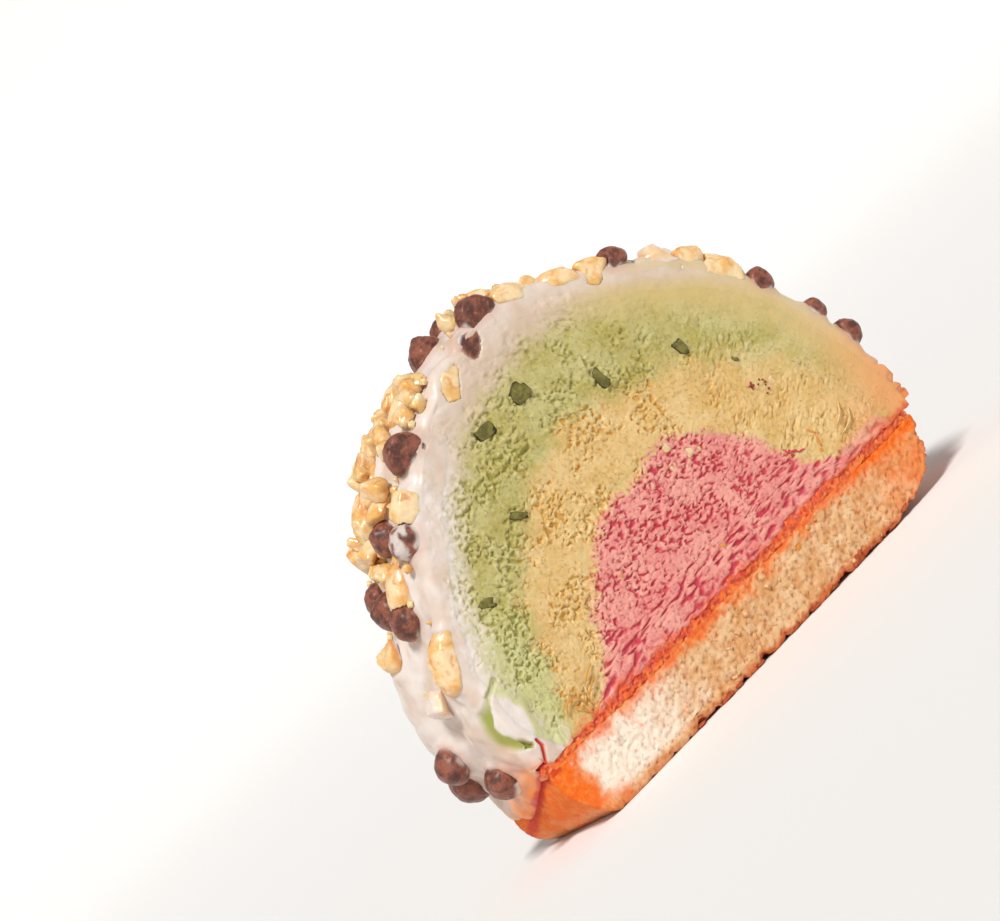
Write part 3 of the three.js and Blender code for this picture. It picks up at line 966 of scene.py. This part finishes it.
def chips():
    """Chocolate chips, rounded and knobbly, rough where they are cut at the front face."""
    parts = []
    for number, node in enumerate(CHIPS):
        points, normals, faces = rounded_copy(node, TOPPING_VOXEL, CHIP_SMOOTHING)
        seed = 900 + 13 * number
        bumps = 0.34 + 0.14 * layered(points, 2.2, 3, seed) + 0.05 * noise(points, 0.5, seed + 5)
        cut = step(-points[:, 1], FACE - 0.5, FACE - 0.1)
        bumps += cut * (0.2 * layered(points, 0.9, 2, seed + 8) - 0.34)
        across, _, up = points.mean(0)
        if across < -35 and up < BASE + 14:
            bumps += LOW_CHIP_GROWTH
        film = film_on(points, seed)
        if node == COVERED_CHIP:
            streaks = layered(points * [1, 1, 0.5], 1.4, 3, seed + 9)
            film = np.maximum(film, 0.85 * step(streaks, -0.35, 0.35))
        parts.append((carried(points + normals * bumps[:, None]), faces, {"film": film}))
    return joined("choc_chips", parts, chip_look(), CHIPS)


def nuts(name, nodes, passes, first_seed):
    """Peanuts, with cream on some and painted shade, a darker tone, where they meet the coat."""
    parts = []
    for number, node in enumerate(nodes):
        points, normals, faces = rounded_copy(node, TOPPING_VOXEL, passes)
        seed = first_seed + 13 * number
        bumps = 0.14 * layered(points, 2.6, 3, seed) + 0.03 * noise(points, 0.6, seed + 5)
        film = film_on(points, seed)
        if node in CREAMY_NUTS:
            film = np.maximum(film, 0.3 + 0.5 * step(layered(points, 3.0, 2, seed), -0.3, 0.4))
        coat, own = coat_radius(points)
        uncut = fall(np.abs(points[:, 1]), FACE - 1.6, FACE - 0.8)
        above = own - coat + 0.5 * layered(points, 1.8, 2, seed + 7)
        # The mark low is painted shade where the nut meets the coat.
        marks = {"film": film, "low": 0.75 * fall(above, 0.2, 2.4) * uncut}
        parts.append((carried(points + normals * bumps[:, None]), faces, marks))
    return joined(name, parts, nut_look(), nodes)


# Coat

EDGE_ROUND = 1.5  # radius between the outside and a cut face
SET_BACK = 0.35  # of the coat's cut face behind a topping that shows in it
ARC_STEPS = 6
SKIRT_ROWS = 34
SPONGE_TREE = search_tree("sponge_base")


def sponge_left(height):
    """Where the sponge's left end lies at a height."""
    start = Vector((-FAR, 0, min(max(height, 0.1), SPONGE_TOP - 0.6)))
    hit = SPONGE_TREE.ray_cast(start, Vector((1, 0, 0)))[0]
    return hit.x


def skirt_low(depth):
    """How far down the coat runs over the sponge's left end, at a depth."""
    share = np.clip((depth + FACE) / (2 * FACE), 0, 1)
    return BASE - 0.7 - 10.5 * share ** 0.85


def distances(points, targets):
    """From each point to the nearest target."""
    tree = KDTree(len(targets))
    for number, point in enumerate(targets):
        tree.insert(point, number)
    tree.balance()
    return np.array([tree.find(point)[2] for point in points])


def coat_faces(shell, pieces):
    """The coat's share of both cut faces. At the front it lies behind the toppings cut there."""
    toppings = [BVHTree.FromObject(piece, bpy.context.evaluated_depsgraph_get()) for piece in pieces]
    faces = []
    for side, spacing, seed, picks in SIDES:
        edges = FACE_EDGES[side]
        radius = rows_between(edges[2][picks], COAT_EDGE[picks] - EDGE_ROUND, spacing * 1.1)
        points, marks = place_on_face(radius, picks, side, edges, seed)
        if side < 0:
            # The outside has every second of these points, and is straight between them
            points[1::2, -1] = (points[:-1:2, -1] + points[2::2, -1]) / 2
            for point in points.reshape(-1, 3):
                start = Vector((point[0], -FACE - 3, point[2])) * MM
                for tree in toppings:
                    hit = tree.ray_cast(start, Vector((0, 1, 0)), (3 + SET_BACK) * MM)[0]
                    if hit is not None:
                        point[1] = max(point[1], hit.y / MM + SET_BACK)
        kept = {key: marks[key] for key in ("peach", "stain", "dusk", "butter", "groove", "syrup")}
        numbers = shell.add(points, {**kept, "inner": 1 - marks["to_cream"]})
        shell.skin(numbers)
        faces.append(numbers)
    return faces


def coat_outside():
    """Rows of points from face to face: over the dome, with rounded edges, then down over the
    sponge's left end. Also the ways out, the share of the waves and the height over the low rim."""
    along, up = ALONG[SECOND, None], UP[SECOND, None]
    turns = np.linspace(0, math.pi / 2, ARC_STEPS + 1)[1:]
    round_depths = -FACE + EDGE_ROUND * (1 - np.cos(turns))
    flats = np.linspace(-1, 1, round(2 * (FACE - EDGE_ROUND) / OUTER_STEP) + 1)[1:-1]
    flats = flats * (FACE - EDGE_ROUND)
    depths = np.concatenate([round_depths, flats, -round_depths[::-1]])
    arc_drop = EDGE_ROUND * (1 - np.sin(turns))
    drop = np.concatenate([arc_drop, 0 * flats, arc_drop[::-1]])
    edge, middle = COAT_EDGE[SECOND, None], COAT_MIDDLE[SECOND, None]
    radius = edge + (middle - edge) * (1 - (depths / FACE) ** 2) - drop
    dome = np.broadcast_arrays(AXIS_X + radius * along, depths[None], BASE + radius * up)
    rows = list(np.stack(dome, -1))

    thick = np.maximum(sponge_left(SPONGE_TOP) - rows[-1][:, 0], 0.9)
    for share in np.arange(1, SKIRT_ROWS + 1) / SKIRT_ROWS:
        height = BASE + (skirt_low(depths) - BASE) * share
        lip = math.sqrt(max(1 - share ** 2.5, 0)) * 1.12 - 0.12
        ends = np.array([sponge_left(z) for z in height])
        rows.append(np.stack([ends - thick * lip, depths * (1 - 0.02 * share), height], -1))

    grown = np.stack(np.broadcast_arrays(along, 0 * depths[None], up), -1)
    sideways = np.broadcast_to([-1.0, 0, 0], (SKIRT_ROWS, len(depths), 3))
    ways = np.concatenate([grown, sideways]).reshape(-1, 3)
    waving = np.concatenate([1 - 0.5 * drop / EDGE_ROUND] * len(rows))
    outer = np.array(rows)
    return outer, ways, waving, (outer[..., 2] - skirt_low(depths)).ravel()


def coat(pieces):
    """The whipped cream, with waves, and risen round each topping."""
    shell = Shell()
    front, rear = coat_faces(shell, pieces)
    outer, ways, waving, above = coat_outside()
    flat = outer.reshape(-1, 3)
    x, y, z = flat.T
    topping_points = np.concatenate([points_of(piece.data) for piece in pieces])
    waves = 0.6 * layered(flat, 9.0, 3, 40) + 0.2 * layered(flat, 3.2, 2, 44)
    swell = ways * swell_at(flat)[:, None]
    rise = 0.8 * np.exp(-(distances(flat + swell, topping_points) / 1.1) ** 2)
    near_foot = step(x, 40, 46) * fall(z, BASE + 3, BASE + 13)
    knobs = near_foot * (1.3 * flaked(lumps(flat, 2.2, 71), 0.0) - 0.5)
    groove = groove_on(flat[:, [0, 2]]) * fall(y, -FACE + 1.5, -FACE + 3.5)
    lift = (waves + rise) * waving + knobs - 0.7 * groove
    moved = flat + swell + ways * lift[:, None]

    patchy = layered(flat, 4.0, 3, 61)
    near_face = np.exp(-(y + FACE) / 4)
    left = step(-x, 35, 45)
    right = step(x, 38, 51) * fall(z, BASE + 6, BASE + 24)
    soiled = left * (1 - near_face * step(z + 0.8 * patchy, BASE - 3.5, BASE + 1.0))
    stain = fall(above + 1.2 * patchy, 0.3, 5.5) * soiled
    tan = fall(above + 1.5 * patchy, 2.0, 10.5) * soiled
    from_chip = distances(moved, points_of(pieces[0].data)) + 0.5 * patchy
    marks = {
        "groove": groove,
        "dusk": 0.45 * step(x + 3 * patchy, -34, -14) * near_face,
        "butter": step(x + 3 * patchy, 10, 44) * (0.6 * near_face + 0.15),
        "stain": np.clip(0.95 * stain + 0.9 * right * fall(z, BASE, BASE + 9), 0, 1),
        "peach": np.maximum(0.9 * right, 0.85 * tan),
        "syrup": fall(above + 0.5 * patchy, 0.1, 1.0) * left,
        "smudge": 0.4 * fall(from_chip, 0.2, 1.6),
    }
    count = outer.shape[:2]
    numbers = shell.add(moved.reshape(*count, 3), {k: v.reshape(count) for k, v in marks.items()})
    dome, hanging = numbers[: len(SECOND)], numbers[len(SECOND) - 1:]
    shell.skin(dome)
    shell.halved(front[:, -1], dome[:, 0])
    shell.skin(np.stack([dome[:, -1], rear[:, -1]], 1))
    shell.skin(hanging)
    shell.halved(front[:, 0], rear[:, 0])
    loop = np.concatenate([front[0], dome[0], rear[0][::-1]])
    shell.fan(loop, [AXIS_X + COAT_EDGE[0] - 3, 0, BASE + 0.1])
    loop = np.concatenate([
        front[-1], hanging[:, 0], hanging[-1, 1:-1], hanging[::-1, -1], rear[-1][::-1],
    ])
    shell.fan(loop, [SPONGE_LOW[0] + 4, 0, BASE - 5])
    return closed(shell, "whipped_cream", cream_look(), "cream_coat")


# Syrup and sponge

SYRUP_HALF_HEIGHT = 1.5


def syrup():
    """A line of syrup, rough like the crumb beside it and level with the cut faces."""
    low, high = corners("syrup_layer")
    middle = (SPONGE_TOP + BASE) / 2 - 0.5
    up = np.linspace(-1, 1, 17)
    front = np.stack([-FACE + 0.25 + 0.6 * np.abs(up) ** 5, SYRUP_HALF_HEIGHT * up], -1)
    section = np.concatenate([front, front[::-1] * [-1, 1]])
    across = np.arange(low[0] - 1.4, high[0] + 0.8, SPACING * 1.25)
    ends = np.minimum(across - across[0], across[-1] - across)
    shrink = np.sqrt(1 - (1 - np.clip(ends / 1.5, 0, 1)) ** 2) * 0.8 + 0.2
    height = middle + section[None, :, 1] * shrink[:, None]
    points = np.stack(np.broadcast_arrays(across[:, None], section[None, :, 0], height), -1)
    flat = points.reshape(-1, 3)
    hills = lumps(flat, 0.75, 21)
    flat[:, 1] += np.sign(flat[:, 1]) * (0.24 * flaked(hills, -0.2) + 0.1 * hills - 0.15)
    flat[:, 2] += 0.3 * layered(flat, 3.0, 3, 27) * shrink.repeat(len(section))
    blots = step(flat[:, 0], 20, 32) * step(layered(flat, 3.5, 2, 29), -0.2, 0.3)
    crumbly = middle - flat[:, 2] + 0.7 * layered(flat, 1.6, 2, 28) + 0.5 * step(flat[:, 0], 12, 34)
    # The mark deep is painted shade in the pits between the hills, and darker syrup in blots on the
    # right.
    marks = {
        "deep": np.maximum(1 - flaked(hills, -0.1), 0.9 * blots).reshape(height.shape),
        "crumb": (0.8 * step(crumbly, -0.1, 0.7)).reshape(height.shape),
    }
    shell = Shell()
    numbers = shell.add(flat.reshape(points.shape), marks)
    shell.skin(wrapped(numbers))
    for end in (0, -1):
        shell.fan(numbers[end], points[end].mean(0))
    closed(shell, "red_syrup", syrup_look(), "syrup_layer", sharp=False)


SPONGE_VOXEL = 0.35
LEFT_FLARE = 2.8  # of the sponge's left end, at its low rear corner
TORN = 1.2  # depth of the notches along the low front edge


def sponge():
    """The sponge, crumbly at its cut faces, knobbly at the right end and torn low at the front."""
    points, normals, faces = rounded_copy("sponge_base", SPONGE_VOXEL, 1)
    x, y, z = points.T
    cut = step(np.abs(normals[:, 1]), 0.4, 0.8)
    ends = (1 - cut) * step(np.abs(normals[:, 0]), 0.2, 0.6)
    bottom = step(-normals[:, 2], 0.8, 0.95)
    hills = lumps(points, 0.85, 9)
    crumb = flaked(hills, -0.4)
    rough = (cut + 0.5 * ends) * (1 - 0.6 * step(-x, 36, 43))
    lift = rough * (0.22 * crumb + 0.15 * hills + 0.14 * layered(points, 2.4, 2, 12) - 0.2)
    knobs = flaked(lumps(points, 2.6, 33), 0.0)
    lift += ends * step(x, -10, 20) * (knobs - 0.4) + (1 - cut) * (1 - ends) * 0.2 * hills
    lift = np.where(bottom > 0, np.minimum(lift, 0.0), lift)
    moved = points + normals * lift[:, None]
    moved[:, 0] -= LEFT_FLARE * step(-x, 34, 44) * step(y, -FACE, FACE) * step(-z, -11.5, -1.5)
    torn = np.clip(layered(points * [1, 0.5, 0], 3.0, 4, 15) + 0.1, 0, 1)
    low_front = fall(z, 0.2, 3.0) * fall(y, -FACE + 1, -FACE + 4)
    moved[:, 2] += TORN * torn * low_front * fall(-x, 32, 38)

    # Soaked with syrup at the ends, under the syrup and in the crease where the coat ends
    patchy = layered(points, 3.0, 3, 52)
    from_top = SPONGE_TOP - z
    left = step(-(x + 1.4 * patchy), 41.5, 44.5)
    left_low = step(-(x + 2 * patchy), 36, 43) * step(-z, -4.5, -1.5)
    right = step(x + 2.0 * patchy, 24, 44)
    bleed = fall(from_top + 1.1 * patchy + 0.9 * hills, 0.3, 3.0)
    low_edge = fall(z + 0.6 * patchy, 0.3, 1.9) * (0.4 + 0.6 * step(x, -25, -5))
    left_end = (1 - cut) * step(-normals[:, 0], 0.2, 0.6)
    pale = step(-(x + 3 * patchy), 14, 32) * (1 - left) * step(z, 1.0, 3.0)
    stain = left + left_low + 0.62 * right + 0.8 * bleed + left_end + 0.6 * low_edge
    foot = fall(z + 1.6 * patchy, 0.5, 5.0) * step(-x, 36, 42)
    crease = fall(np.abs(z - skirt_low(y)) + 0.5 * patchy, 0.2, 1.6)
    corner = np.hypot(x - SPONGE_LOW[0] - 1.5, from_top)
    blot = fall(corner + 0.6 * patchy, 0.8, 2.2)
    soaked = 0.4 * fall(from_top + patchy, 0, 0.7)
    # The first two marks paint shade in the pits between the crumbs and highlights on their tops; the
    # others are the crumb's own pale part, stains, syrup and crust.
    marks = {
        "deep": (0.6 - 0.5 * pale) * (1 - crumb),
        "lump": step(hills, 0.4, 0.9),
        "pale": pale * cut,
        "stain": np.clip(stain, 0, 1) * (1 - 0.55 * foot),
        "syrup": (y >= -FACE) * np.clip(np.maximum(crease * left_end, blot) + soaked, 0, 0.9),
        "crust": np.clip(low_edge * 0.8 + 0.85 * bottom, 0, 1),
    }
    part = moved, faces, marks
    return joined("sponge_cake", [part], sponge_look(), ["sponge_base"])


# Small things on the cut face and the coat. Each is made as one part for joined(), and marked rim
# near its rim, as seen along Y.

def pebble(size, place, turn, seed, sides=3):
    """An uneven blob: its three sizes, its place and its turns about X, Y and Z."""
    work = bmesh.new()
    bmesh.ops.create_icosphere(work, subdivisions=sides, radius=1)
    points = np.array([vertex.co for vertex in work.verts])
    faces = np.array([[vertex.index for vertex in face.verts] for face in work.faces])
    work.free()
    rim = step(np.hypot(points[:, 0], points[:, 2]), 0.72, 0.95)
    bulges = 1 + 0.35 * layered(points + seed, 1.1, 2, seed)
    squared = np.sign(points) * np.abs(points) ** 0.65
    turned = squared * bulges[:, None] * np.array(size) / 2 @ np.array(Euler(turn).to_matrix()).T
    return turned + np.array(place), [faces], {"rim": rim}


def bits(name, places, thick, sunk, middle, rim, grain, rough=0.6):
    """Bits that lie in the front cut face. Each place is its middle (x, z), its width and height,
    and its turn from +X towards +Z. The rest is their thickness, how far they are sunk in, and their
    look."""
    parts = []
    for number, (x, z, width, height, turn) in enumerate(places):
        size = (width, thick, height)
        parts.append(pebble(size, (x, -FACE + sunk + 0.1, z), (0, -turn, 0), 41 + 3 * number))
    joined(name, parts, bit_look(name, middle, rim, grain, rough))


CURL_WIDTH = 0.34
CURL_STEPS = 16  # along it
CURL_SIDES = 8


def curl(x, z, radius, start, sweep):
    """A thin shred, curled in an arc about (x, z) on the front cut face."""
    along = np.linspace(0, 1, CURL_STEPS)
    turns = start + sweep * along
    width = CURL_WIDTH * (0.25 + 0.75 * np.sqrt(np.sin(math.pi * along))) / 2
    width[[0, -1]] = 0.02
    rings = []
    for turn, half, share in zip(turns, width, along):
        out = np.array([math.cos(turn), 0, math.sin(turn)])
        middle = np.array([x, -FACE - 0.15 - 0.45 * math.sin(math.pi * share), z]) + radius * out
        angles = np.linspace(0, 2 * math.pi, CURL_SIDES, endpoint=False)
        ring = middle + half * (np.cos(angles)[:, None] * out + np.sin(angles)[:, None] * [0, 1, 0])
        rings.append(ring)
    numbers = np.arange(CURL_STEPS * CURL_SIDES).reshape(CURL_STEPS, CURL_SIDES)
    sides = grid_faces(wrapped(numbers))
    halves = [sides[:, [0, 1, 2]], sides[:, [0, 2, 3]]]
    ends = [
        np.array([[row[0], row[k], row[k + 1]] for k in range(1, CURL_SIDES - 1)])
        for row in (numbers[0], numbers[-1][::-1])
    ]
    return np.concatenate(rings), halves + ends, {"rim": np.zeros(numbers.size)}


def scattered(name, look, source, chosen, count, sizes, seed, sunk):
    """Crumbs on a piece's surface, on randomly drawn points of those that are chosen."""
    draw = random.Random(seed)
    points, normals = points_of(source.data), normals_of(source.data)
    numbers = np.flatnonzero(chosen(points, normals))
    parts = []
    for number in range(count):
        at = numbers[draw.randrange(len(numbers))]
        width = draw.uniform(*sizes)
        size = (width, width * draw.uniform(0.5, 0.9), width * draw.uniform(0.5, 1))
        place = points[at] + normals[at] * width * (0.5 - sunk)
        turn = [draw.uniform(-3, 3) for _ in range(3)]
        parts.append(pebble(size, place, turn, seed + number, 3 if width > 2 else 2))
    joined(name, parts, look)


# Each of these bits is its x, z, width, height and turn, read off the photo
PISTACHIO_BITS = (
    (-6.3, 61.0, 3.9, 3.7, 0.1), (6.7, 53.7, 2.0, 3.8, 0.15), (-15.6, 60.2, 3.9, 2.4, -0.12),
    (-21.4, 46.4, 3.4, 1.3, -0.6), (22.0, 48.4, 1.9, 3.0, 0.1), (-35.8, 39.4, 3.4, 1.6, -0.4),
    (28.3, 40.4, 1.3, 0.6, -0.8),
)
RED_BITS = (
    (27.2, 35.1, 1.6, 0.35, 1.2), (27.2, 35.1, 1.2, 0.3, -0.5), (29.1, 35.0, 0.4, 0.35, 0.2),
    (29.6, 34.6, 0.35, 0.35, 0.0), (29.7, 34.0, 0.4, 0.35, 0.5), (29.4, 33.6, 0.35, 0.3, 0.0),
    (29.4, 32.7, 0.45, 0.4, 0.0), (28.6, 32.3, 0.35, 0.35, 0.7), (28.4, 34.5, 0.4, 0.35, 0.0),
)
BERRY_BITS = (
    (24.9, 22.0, 1.5, 0.7, -0.5), (24.0, 22.6, 1.4, 0.8, -0.9), (23.2, 23.2, 1.2, 0.7, -0.4),
    (22.6, 23.9, 0.9, 0.5, -0.8), (25.8, 21.2, 1.0, 0.5, -0.2), (24.2, 21.6, 0.9, 0.4, -0.3),
    (23.3, 22.3, 0.8, 0.4, 0.2), (26.5, 21.0, 0.6, 0.4, -0.6),
)
ORANGE_BITS = (
    (30.0, 22.2, 0.5, 2.0, 0.5), (29.9, 20.4, 0.6, 2.2, -0.3),
    (29.2, 18.6, 0.6, 1.1, 0.6), (30.9, 21.0, 0.4, 1.3, 0.9), (2.8, 18.9, 1.2, 1.0, 0.0),
    (13.3, 9.4, 1.7, 1.2, 0.3), (17.8, 7.2, 1.0, 1.3, 0.0), (16.6, 10.8, 1.1, 0.7, 0.0),
    (-14.8, 27.2, 0.8, 0.7, 0.0),
)
GRANULES = (
    (9.7, 34.3, 2.1, 1.8, 0.3), (7.3, 37.7, 1.9, 1.8, 0.0), (5.8, 34.3, 1.5, 1.4, 0.0),
    (11.6, 33.6, 0.9, 0.8, 0.0), (4.2, 36.4, 0.9, 0.9, 0.3), (31.0, 33.4, 1.5, 1.4, 0.0),
)
CRUST_BITS = (
    (-15.2, 0.4, 3.2, 0.7, 0.1), (-12.2, 0.5, 2.0, 0.6, -0.1), (-6.5, 0.4, 1.8, 0.5, 0.0),
    (2.6, 0.5, 2.4, 0.7, 0.15), (8.0, 0.4, 2.2, 0.6, 0.0), (13.5, 0.5, 1.9, 0.6, 0.1),
    (19.6, 0.9, 2.4, 0.9, 0.5), (21.0, 1.3, 2.0, 0.8, 0.7), (22.6, 0.8, 2.2, 0.8, 0.1),
    (29.5, 0.6, 2.2, 0.6, 0.1), (33.5, 1.4, 1.8, 0.6, 0.4), (-22.0, 0.4, 2.0, 0.5, 0.0),
)

# Each of these arcs is its x, z, radius, first angle and sweep
SHREDS = (
    (-28.6, 15.2, 5.4, 1.7, 0.75), (-29.3, 13.2, 5.6, 1.75, 0.75), (-36.6, 17.0, 1.8, -0.4, 4.0),
    (-37.9, 14.9, 2.6, 0.1, 1.1),
)
PALE_CURLS = ((33.4, 24.6, 6.4, -1.5, 0.9), (31.6, 26.4, 7.0, -1.2, 0.7), (34.0, 22.4, 4.4, -1.3, 1.0))

# Where nuts are scattered on the coat, and crumbs on the sponge's front
NUTS_OVER = 27
CLUSTER_OVER = 32
NUTS_LEFT_OF = 22
CLUSTER_LEFT_OF = 14
CRUMBS_ALONG = (-14, 30)
FROM_CHIPS = 2.2


def small_things(cream, cake, chip_piece):
    bits("pistachio_bits", PISTACHIO_BITS, 1.2, 0.1, SEED_GREEN, SEED_DARK, 1.2, 0.5)
    bits("red_bits", RED_BITS, 0.8, 0.0, BERRY, SEED_DARK, 0.6)
    bits("berry_bits", BERRY_BITS, 0.6, 0.15, PINK_DEEP_AND_PIT_SHADE, BERRY, 0.8)
    bits("orange_bits", ORANGE_BITS, 0.8, 0.2, SHRED, ORANGE_PALE, 0.9)
    bits("granules", GRANULES, 0.7, 0.12, GRAIN, YELLOW, 0.8)
    bits("crust_bits", CRUST_BITS, 1.2, 0.2, CRUST, CRUST_DARK, 1.0, 0.85)
    joined("shreds", [curl(*arc) for arc in SHREDS], bit_look("shreds", SHRED, YELLOW_DEEP_AND_PIT_SHADE, 0.8))
    pale = bit_look("pale_curls", YELLOW, YELLOW_PALE_AND_HIGHLIGHT, 0.8)
    joined("pale_curls", [curl(*arc) for arc in PALE_CURLS], pale)
    chip_points = points_of(chip_piece.data)[::7]

    def in_toppings(points, normals):
        x, y, z = points.T
        outside = (normals[:, 1] > -0.5) & (np.abs(y) < FACE - 1)
        return outside & (z > BASE + NUTS_OVER) & (x < NUTS_LEFT_OF)

    def in_cluster(points, normals):
        x, y, z = points.T
        dense = in_toppings(points, normals) & (x < CLUSTER_LEFT_OF) & (y < 9)
        numbers = np.flatnonzero(dense & (z > BASE + CLUSTER_OVER))[::3]
        clear = np.zeros(len(points), bool)
        clear[numbers] = distances(points[numbers], chip_points) > FROM_CHIPS
        return clear

    def on_crumb(points, normals):
        x, _, z = points.T
        along = (x > CRUMBS_ALONG[0]) & (x < CRUMBS_ALONG[1])
        return along & (z > 0.8) & (normals[:, 1] < -0.6)

    nut = nut_look()
    crumb = bit_look("cake_crumbs", CAKE_LIGHT_AND_HIGHLIGHT, CAKE, 0.9, 0.8)
    scattered("nut_crumbs", nut, cream, in_toppings, 100, (0.6, 1.8), 5, 0.1)
    scattered("nut_pieces", nut, cream, in_cluster, 40, (2.6, 4.6), 15, 0.15)
    scattered("cake_crumbs", crumb, cake, on_crumb, 40, (0.4, 1.1), 9, 0.5)


# Stage, light and camera

FLOOR_FLAT = 0.8  # radius of the flat part, in metres like the bowl round it
BOWL = 0.7
FLOOR_SPANS = 72


def backdrop():
    """A pale floor that rises into a bowl, so that no edge shows."""
    profile = [(0.0, 0.0), (FLOOR_FLAT / 2, 0.0), (FLOOR_FLAT, 0.0)]
    profile += [
        (FLOOR_FLAT + BOWL * math.sin(a), BOWL - BOWL * math.cos(a)) for a in np.linspace(0.1, 1.45, 16)
    ]
    turns = np.linspace(0, 2 * math.pi, FLOOR_SPANS, endpoint=False)
    points = [
        (radius * math.cos(turn), radius * math.sin(turn), up)
        for radius, up in profile for turn in turns
    ]
    rings = np.arange(len(points)).reshape(len(profile), FLOOR_SPANS)
    mesh = mesh_of("floor", np.array(points) / MM, [grid_faces(wrapped(rings))])
    look = Look("floor", Base_Color=(0.86, 0.85, 0.84, 1), Roughness=0.9)
    floor = placed("floor", mesh, look.material)


# Fitted to the photo: the slice lies askew in it
CAMERA_PLACE = (-186.2, -408.6, 67.4)
CAMERA_AIM = (-11.37, 0, 54.67)
CAMERA_ROLL = math.radians(-42.045)
LENS = 93.6


def camera():
    place, aim = Vector(CAMERA_PLACE) * MM, Vector(CAMERA_AIM) * MM
    back = (place - aim).normalized()
    level = Vector((0, 0, 1)).cross(back).normalized()
    upright = back.cross(level)
    right = level * math.cos(CAMERA_ROLL) + upright * math.sin(CAMERA_ROLL)
    above = upright * math.cos(CAMERA_ROLL) - level * math.sin(CAMERA_ROLL)
    data = bpy.data.cameras.new("camera")
    data.sensor_width = 36
    data.lens = LENS
    data.clip_start = 0.01
    data.clip_end = 20
    rig = bpy.data.objects.new("camera", data)
    turned = Matrix((right, above, back)).transposed().to_4x4()
    rig.matrix_world = Matrix.Translation(place) @ turned
    bpy.context.scene.collection.objects.link(rig)
    bpy.context.scene.camera = rig


TOWARDS_SUN = Vector((-0.3, -0.5, 0.81))
SUN_STRENGTH = 2.8
SUN_WIDTH = math.radians(12)
SKY_STRENGTH = 0.28


def lights():
    world = bpy.data.worlds.new("world")
    world.use_nodes = True
    sky = world.node_tree.nodes["Background"]
    sky.inputs["Color"].default_value = (1, 0.99, 0.98, 1)
    sky.inputs["Strength"].default_value = SKY_STRENGTH
    bpy.context.scene.world = world
    data = bpy.data.lights.new("key", "SUN")
    data.energy = SUN_STRENGTH
    data.angle = SUN_WIDTH
    data.color = (1, 0.985, 0.96)
    key = bpy.data.objects.new("key", data)
    key.rotation_euler = TOWARDS_SUN.to_track_quat("Z", "Y").to_euler()
    bpy.context.scene.collection.objects.link(key)


backdrop()
strawberry()
layer("vanilla", 0, YELLOWS, GREENS, PINKS, 0.3)
layer("pistachio", 1, GREENS, CREAMS, YELLOWS, 0.25)
topping_pieces = [
    chips(),
    nuts("peanut_halves", HALVES, 3, 1500),
    nuts("peanut_chunks", CHUNKS, 1, 1900),
]
cream = coat(topping_pieces)
syrup()
cake = sponge()
small_things(cream, cake, topping_pieces[0])

lights()
camera()
scene = bpy.context.scene
scene.view_settings.view_transform = "Standard"
